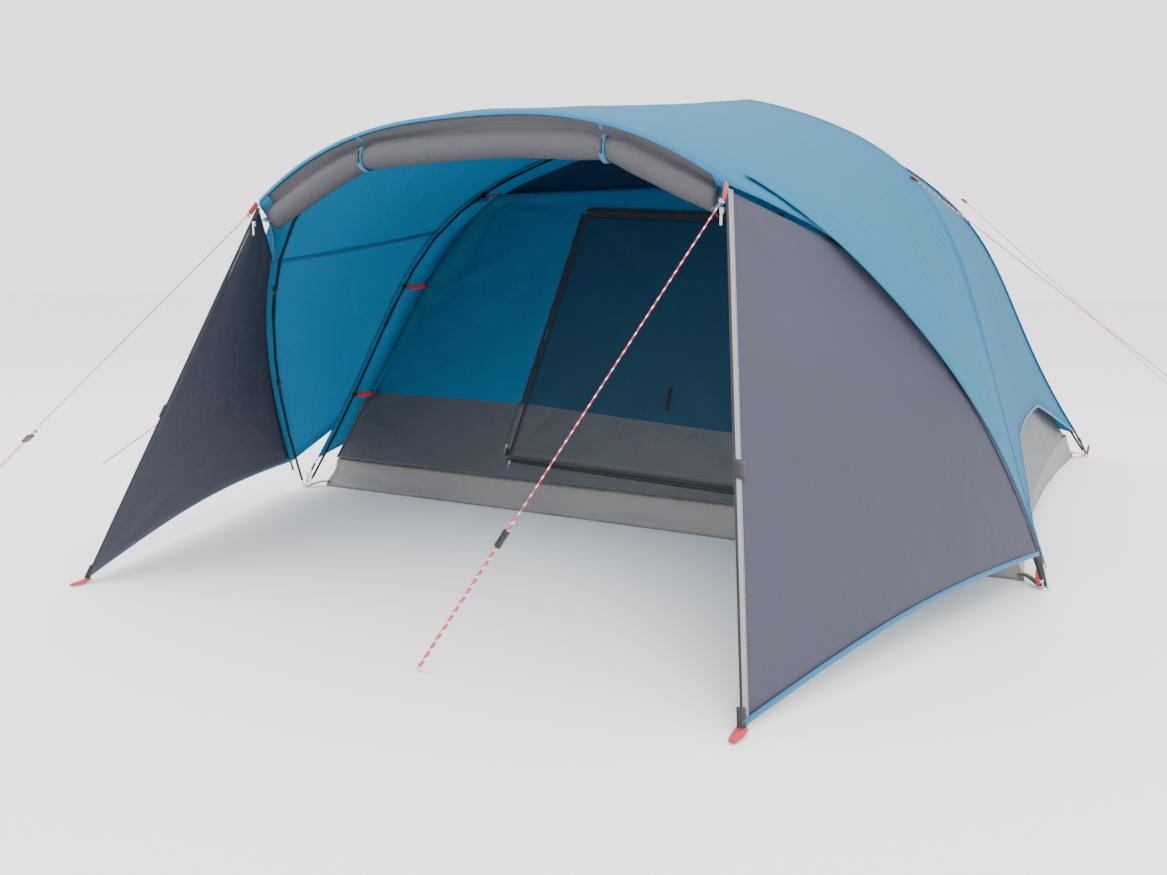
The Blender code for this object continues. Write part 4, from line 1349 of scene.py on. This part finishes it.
def makeDoorZips():
    tapes, teethPaths = [], []
    lines = {"Up": (doorSide("left", 0.0), doorSide("left", 1.0), -0.012, 0.0, 0.012),
             "Top": (doorSide("left", 1.0), doorSide("right", 1.0), 0.0, 0.014, 0.022),
             "Across": (doorSide("left", 0.0), doorSide("right", 0.0), 0.0, -0.014, 0.014)}
    for word, (a, b, dx, dz, width) in lines.items():
        path = [wallPoint(*mix((a[0] + dx, a[1] + dz), (b[0] + dx, b[1] + dz), k / 30), 0.0026)
                for k in range(31)]
        tape = sweep("doorZipTape" + word, path, tapeProfile(width, 0.0012), [blackTape],
                     [wallNormal] * 31)
        tapes.append(tape)
        teethPaths.append(([p + wallNormal * 0.0007 for p in path], [wallNormal] * 31))
    coil = repeatAlong("doorZipTeeth", teethPaths, teeth, zipLook["pitch"], coilPlastic)
    band = (inner["bandLeft"] - doorCorners["leftLow"][1]) / (doorCorners["leftTop"][1]
                                                              - doorCorners["leftLow"][1])
    hidden = [doorSide("left", band * (0.12 + 0.88 * k / 12)) for k in range(13)]
    cover = sweep("doorZipCover", [wallPoint(x - 0.012, z, 0.0062) for x, z in hidden],
                  tapeProfile(0.030, 0.0012), [bandCloth], [wallNormal] * 13)
    for piece in tapes + [coil, cover]:
        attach(piece, "root")


def wallRows(near, far):
    low, top = inner["tubHeight"] + 0.002, inner["wallTop"]
    grid = []
    band, bandRow = inner["bandSide"], inner["bandRow"]
    for r in range(31):
        if r <= bandRow:
            z = low + (band - low) * r / bandRow
        else:
            z = band + (top - band) * (r - bandRow) / (30 - bandRow)
        a = legPoint(*near, legShareAt(*near, z, -tent["hang"]), -tent["hang"])
        b = legPoint(*far, legShareAt(*far, z, -tent["hang"]), -tent["hang"])
        a, b = pulledIn(a, b, 0.012)
        row = []
        for c in range(31):
            point = a.lerp(b, c / 30)
            inward = Vector((-point.x, -point.y, 0)).normalized()
            row.append(point + inward * 0.02 * math.sin(math.pi * c / 30))
        grid.append(row)
    return grid


def makeInnerWall(name, near, far, node, seed, facing):
    rows = wallRows(near, far)
    folds = {"billow": 0.005, "crease": 0.007, "small": 0.0008,
             "fans": ((0.25, 0.0, 0.2, 12, 0.004), (0.62, 1.0, 0.2, 12, 0.004)),
             "puckers": (("low", 0.06, 0.03, 0.002),)}
    wall, cut = clothPiece(name, rows, [innerCloth, bandCloth], folds, seed, facing,
                           lambda r, c: int(r < inner["bandRow"]), 0.0008)
    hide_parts(node)
    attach(wall, "root")
    hangCloth(wall, cut)


def makeRoof():
    cells = 40
    lowZ = inner["wallTop"] + 0.008
    corners = {(sx, end): ("front" if end < 0 else "rear", sx) for sx in (-1, 1) for end in (-1, 1)}
    starts = {key: legShareAt(*leg, lowZ, -tent["hang"]) for key, leg in corners.items()}

    def rib(key, level):
        t = starts[key] + (1.0 - starts[key]) * (1 - level)
        point = legPoint(*corners[key], t, -tent["hang"])
        point.z = min(point.z, inner["apex"] + (lowZ - inner["apex"]) * level ** 2)
        return point

    grid = []
    for j in range(cells + 1):
        row = []
        for i in range(cells + 1):
            x, y = i / cells * 2 - 1, j / cells * 2 - 1
            level = max(abs(x), abs(y), 1e-4)
            u, v = (x / level + 1) / 2, (y / level + 1) / 2
            front = rib((-1, -1), level).lerp(rib((1, -1), level), u)
            rear = rib((-1, 1), level).lerp(rib((1, 1), level), u)
            row.append(front.lerp(rear, v))
        grid.append(row)
    folds = {"billow": 0.004, "crease": 0.004, "small": 0.0006}
    roof, cut = clothPiece("innerNetRoof", grid, [netCloth], folds, 52, 1, None, 0.0008)
    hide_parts("inner_mesh_roof")
    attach(roof, "root")
    hangCloth(roof, cut)


def makeTub():
    cells, wallCells = 60, 8
    floorShare = 1 - 2 * wallCells / cells
    grid = []
    for j in range(cells + 1):
        row = []
        for i in range(cells + 1):
            x, y = i / cells * 2 - 1, j / cells * 2 - 1
            climb = max(0.0, (max(abs(x), abs(y)) - floorShare) / (1 - floorShare))
            flatX = max(-1.0, min(1.0, x / floorShare))
            flatY = max(-1.0, min(1.0, y / floorShare))
            reachX = tent["halfWidth"] - inner["tubInset"] - inner["tubDraw"] * (1 - flatY ** 2)
            reachY = tent["halfDepth"] - inner["tubInset"] - inner["frontDraw"] * (1 - flatX ** 2)
            lean = inner["tubLean"] * climb
            point = Vector((flatX * (reachX - lean), flatY * (reachY - lean), 0.0012))
            point.z += (inner["tubHeight"] - 0.001) * climb
            if climb > 0:
                swell = math.sin(math.pi * climb)
                rough = noise.noise(Vector((point.x * 6, point.y * 6, climb * 2.0)))
                fold = abs(noise.noise(Vector((point.x * 15, point.y * 15, climb * 3.0))))
                out = Vector((flatX if abs(flatX) > 0.999 else 0, flatY if abs(flatY) > 0.999 else 0, 0))
                if out.length > 0:
                    point -= out.normalized() * (swell * (0.006 + 0.010 * rough) + 0.006 * fold * climb)
            row.append(point)
        grid.append(row)
    still = {"billow": 0.0, "crease": 0.0, "small": 0.0}
    tub, cut = clothPiece("groundsheetTub", grid, [tubCloth], still, 61, 1, None, 0.0010)
    weldMesh(tub)
    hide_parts("groundsheet_tub")
    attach(tub, "root")
    hangCloth(tub, cut)


makeFrontWall()
makeDoor()
makeDoorZips()
makeInnerWall("innerLeftWall", ("front", -1), ("rear", -1), "inner_left_wall", 46, -1)
makeInnerWall("innerRightWall", ("front", 1), ("rear", 1), "inner_right_wall", 47, 1)
makeInnerWall("innerRearWall", ("rear", -1), ("rear", 1), "inner_rear_wall", 48, -1)
makeRoof()
makeTub()
print("inner tent ready")


# Poles, clips, corners and guy tabs

def dressNodes():
    for name, node in nodes.items():
        if name.endswith("shock_cord"):
            material = elasticCord
        elif name.startswith(("dome_pole", "porch_pole")):
            material = poleGlass
        elif name.startswith(("pin_", "corner_ring")):
            material = plated
        elif name.startswith("guy_runner"):
            material = blackPlastic
        else:
            continue
        for slotIndex in range(len(node.material_slots)):
            node.material_slots[slotIndex].material = material


def clipItem():
    shape = bmesh.new()
    sections = []
    for x in (-0.007, 0.007):
        ring = []
        for k in range(11):
            angle = math.radians(-60 + 300 * k / 10)
            for radius in (0.0058, 0.0080):
                ring.append(shape.verts.new((x, radius * math.sin(angle), -radius * math.cos(angle))))
        sections.append(ring)
    front, back = sections
    for k in range(10):
        a, b, c, d = 2 * k, 2 * k + 1, 2 * k + 3, 2 * k + 2
        shape.faces.new((front[a], front[b], front[c], front[d]))
        shape.faces.new((back[d], back[c], back[b], back[a]))
        shape.faces.new((front[b], back[b], back[c], front[c]))
        shape.faces.new((front[d], back[d], back[a], front[a]))
    shape.faces.new((front[0], back[0], back[1], front[1]))
    shape.faces.new((front[21], back[21], back[20], front[20]))
    place = Matrix.Translation((0, 0.0, -0.0145)) @ Matrix.Diagonal((0.012, 0.0042, 0.014, 1))
    bmesh.ops.create_cube(shape, size=1.0, matrix=place)
    return itemFromShape("pole_clip", shape, blackPlastic)


clipPlan = {"shares": (0.09, 0.245, 0.465), "roofShares": (0.72,), "tabWidth": 0.017}


def makeClips():
    clip = clipItem()
    hooks, tabs = [], []
    for kind in ("front", "rear"):
        for side in (-1, 1):
            for t in clipPlan["shares"] + clipPlan["roofShares"]:
                spot = legPoint(kind, side, t)
                out = (legPoint(kind, side, t, 0.01) - spot).normalized()
                along = (legPoint(kind, side, t + 0.01) - legPoint(kind, side, t - 0.01)).normalized()
                across = out.cross(along).normalized()
                word = f"{kind}_{'left' if side < 0 else 'right'}_{int(t * 1000)}"
                hooks.append(copyAt(clip, "clip_" + word, axesMatrix(spot, along, across, out)))
                start = spot - out * 0.012
                end = spot - out * (tent["hang"] - 0.004) + Vector((-side * 0.012, 0, 0))
                if kind == "front" and t < 0.5:
                    end = wallPoint(side * (wallEdge(spot.z) - 0.004), spot.z, 0.004)
                path = [start.lerp(end, s) for s in (0, 0.33, 0.66, 1.0)]
                facing = along.cross(end - start).normalized()
                tabs.append(sweep("tab_" + word, path, tapeProfile(clipPlan["tabWidth"], 0.0022),
                                  [redWebbing], [facing] * 4))
    hooks = joinPieces("poleClips", hooks)
    tabs = joinPieces("poleClipTabs", tabs)
    for piece in (hooks, tabs):
        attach(piece, "root")
    wraps = []
    for side in (-1, 1):
        for t in (0.42, 0.215):
            spot = legPoint("porch", side, t)
            along = (legPoint("porch", side, t + 0.01) - legPoint("porch", side, t - 0.01)).normalized()
            out = (legPoint("porch", side, t, 0.01) - spot).normalized()
            ring = [spot + along * d for d in (-0.012, -0.006, 0.0, 0.006, 0.012)]
            word = f"{'left' if side < 0 else 'right'}_{int(t * 1000)}"
            wraps.append(sweep("wrap_" + word, ring, roundProfile(0.0072, 12), [blackTape],
                               [out] * 5, [0.92, 1.0, 1.06, 1.0, 0.92]))
    wraps = joinPieces("porchPoleWraps", wraps)
    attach(wraps, "root")


def makeCorner(side, end):
    word = ("front" if end < 0 else "rear") + "_" + ("left" if side < 0 else "right")
    ring = boxMiddle("corner_ring_" + word)
    tubCorner = Vector((side * (tent["halfWidth"] - inner["tubInset"] - 0.010),
                        end * (tent["halfDepth"] - inner["tubInset"] - 0.010), 0.018))
    toRing = (ring - tubCorner).normalized()
    pieces = []
    path = [tubCorner.lerp(ring - toRing * 0.012, s) + Vector((0, 0, 0.004 * math.sin(math.pi * s)))
            for s in (0, 0.2, 0.4, 0.6, 0.8, 1.0)]
    up = Vector((0, 0, 1))
    pieces.append(sweep("strap", path, tapeProfile(0.020, 0.0022), [blackTape], [up] * 6))
    pull = [ring - toRing * 0.006 + toRing.cross(up) * d + up * z for d, z in
            ((0.012, 0.006), (0.016, 0.020), (0.018, 0.034), (0.019, 0.048))]
    pieces.append(sweep("pull", pull, tapeProfile(0.013, 0.0024), [redWebbing], [toRing] * 4))
    kind = "front" if end < 0 else "rear"
    low = legShareAt(kind, side, tent["flyLow"] + 0.010, tent["skin"])
    flyCorner = legPoint(kind, side, low, tent["skin"] + 0.002)
    ends = ring + toRing * 0.004 + up * 0.006
    hang = [flyCorner.lerp(ends, s) for s in (0, 0.25, 0.5, 0.75, 1.0)]
    pieces.append(sweep("flyStrap", hang, tapeProfile(0.015, 0.0020), [blackTape], [toRing] * 5))
    middle = flyCorner.lerp(ends, 0.42)
    run = (ends - flyCorner).normalized()
    buckle = [middle + run * d + toRing * 0.002 for d in (-0.014, -0.010, 0.0, 0.010, 0.014)]
    pieces.append(sweep("buckle", buckle, tapeProfile(0.021, 0.0075), [blackPlastic], [toRing] * 5,
                        [0.75, 1.0, 0.92, 1.0, 0.75]))
    corner = joinPieces("cornerWebbing_" + word, pieces)
    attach(corner, "root")


def makeGuyTab(key, start, end):
    start, end = Vector(start), Vector(end)
    along = (end - start).normalized()
    pieces = []
    if key.startswith("porch"):
        side = 1 if start.x > 0 else -1
        anchor = eavePoint(side * eave["half"]) + Vector((0, -0.003, -0.002))
        pieces.append(sweep("tab", [anchor.lerp(start + along * 0.006, s) for s in (0, 0.3, 0.6, 1)],
                            tapeProfile(0.015, 0.0030), [redWebbing], [Vector((side, 0, 0.2))] * 4))
    else:
        kind = "front" if start.y < 0 else "rear"
        side = 1 if start.x > 0 else -1
        t = legShareAt(kind, side, start.z, tent["skin"])
        shares = (t - 0.030, t + 0.030)
        low, high = (legPoint(kind, side, s, tent["skin"] + 0.003) for s in shares)
        other = "rear" if kind == "front" else "front"
        near, far = (legPoint(leg, side, t, tent["skin"]) for leg in (kind, other))
        apex = near + (far - near).normalized() * 0.075
        grid = []
        for r in range(9):
            v = r / 8
            row = []
            for c in range(9):
                base = low.lerp(high, c / 8)
                row.append(base.lerp(apex, v * 0.985))
            grid.append(row)
        patch, cut = clothPiece("guyPatch_" + key, grid, [seamCloth],
                                {"billow": 0.001, "crease": 0.002, "small": 0.0005}, 70, side)
        base = (high - low).length
        cut["flat"] = (base, 2.05 * cut["area"] / base)
        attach(patch, "root")
        hangCloth(patch, cut)
        pieces.append(sweep("tab", [start - along * 0.010, start, start + along * 0.010,
                                    start + along * 0.020], tapeProfile(0.013, 0.0040),
                            [redWebbing], None))
    pieces.append(overhandKnot("knot", start + along * 0.014, along, 0.0021, guyCord))
    tab = joinPieces("guyTab_" + key, pieces)
    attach(tab, "root")


dressNodes()
makeClips()
for cornerSide in (-1, 1):
    for cornerEnd in (-1, 1):
        makeCorner(cornerSide, cornerEnd)
for guyKey, (guyStart, guyEnd, guyShare) in guyLines.items():
    makeGuyTab(guyKey, guyStart, guyEnd)
print("hardware ready")


# Zip sliders: a body with two cheeks, a bridge and a hinged pull

def makeSlider(node, body):
    low, high = (Vector(corner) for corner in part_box(node))
    middle = Vector(((low.x + high.x) / 2, (low.y + high.y) / 2, high.z - 0.0065))
    tilt = Matrix.Rotation(0.0, 4, "X")
    if node.startswith("door"):
        tilt = Matrix.Rotation(-math.atan(inner["lean"]), 4, "X")
        middle = Vector((middle.x, high.y - 0.0055, high.z - 0.0075))
    shape = bmesh.new()
    for y in (-0.0024, 0.0024):
        place = Matrix.Translation((0, y, 0)) @ Matrix.Diagonal((0.0078, 0.0011, 0.0125, 1))
        bmesh.ops.create_cube(shape, size=1.0, matrix=place)
    bmesh.ops.create_cube(shape, size=1.0, matrix=Matrix.Translation((0, 0, 0.0050))
                          @ Matrix.Diagonal((0.0030, 0.0048, 0.0024, 1)))
    bmesh.ops.create_cube(shape, size=1.0, matrix=Matrix.Translation((0, -0.0036, 0.0))
                          @ Matrix.Diagonal((0.0026, 0.0014, 0.0080, 1)))
    pull = Matrix.Translation((0, -0.0030, -0.0185)) @ Matrix.Diagonal((0.0052, 0.0013, 0.0210, 1))
    bmesh.ops.create_cube(shape, size=1.0, matrix=pull)
    link = Matrix.Translation((0, -0.0034, -0.0070)) @ Matrix.Diagonal((0.0032, 0.0016, 0.0050, 1))
    bmesh.ops.create_cube(shape, size=1.0, matrix=link)
    bmesh.ops.transform(shape, matrix=Matrix.Translation(middle) @ tilt, verts=shape.verts)
    item = itemFromShape(node + "_detail", shape, plated)
    bpy.context.scene.collection.objects.link(item)
    rounding = item.modifiers.new("rounding", "BEVEL")
    rounding.width = 0.0004
    rounding.segments = 2
    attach(item, body)
    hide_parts(node)


makeSlider("porch_zip_slider_left", "porch_slider_left")
makeSlider("porch_zip_slider_right", "porch_slider_right")
makeSlider("door_zip_slider_up", "door_slider_up")
makeSlider("door_zip_slider_across", "door_slider_across")
for item in (stitch, teeth):
    bpy.data.objects.remove(item, do_unlink=True)
print("zips ready")
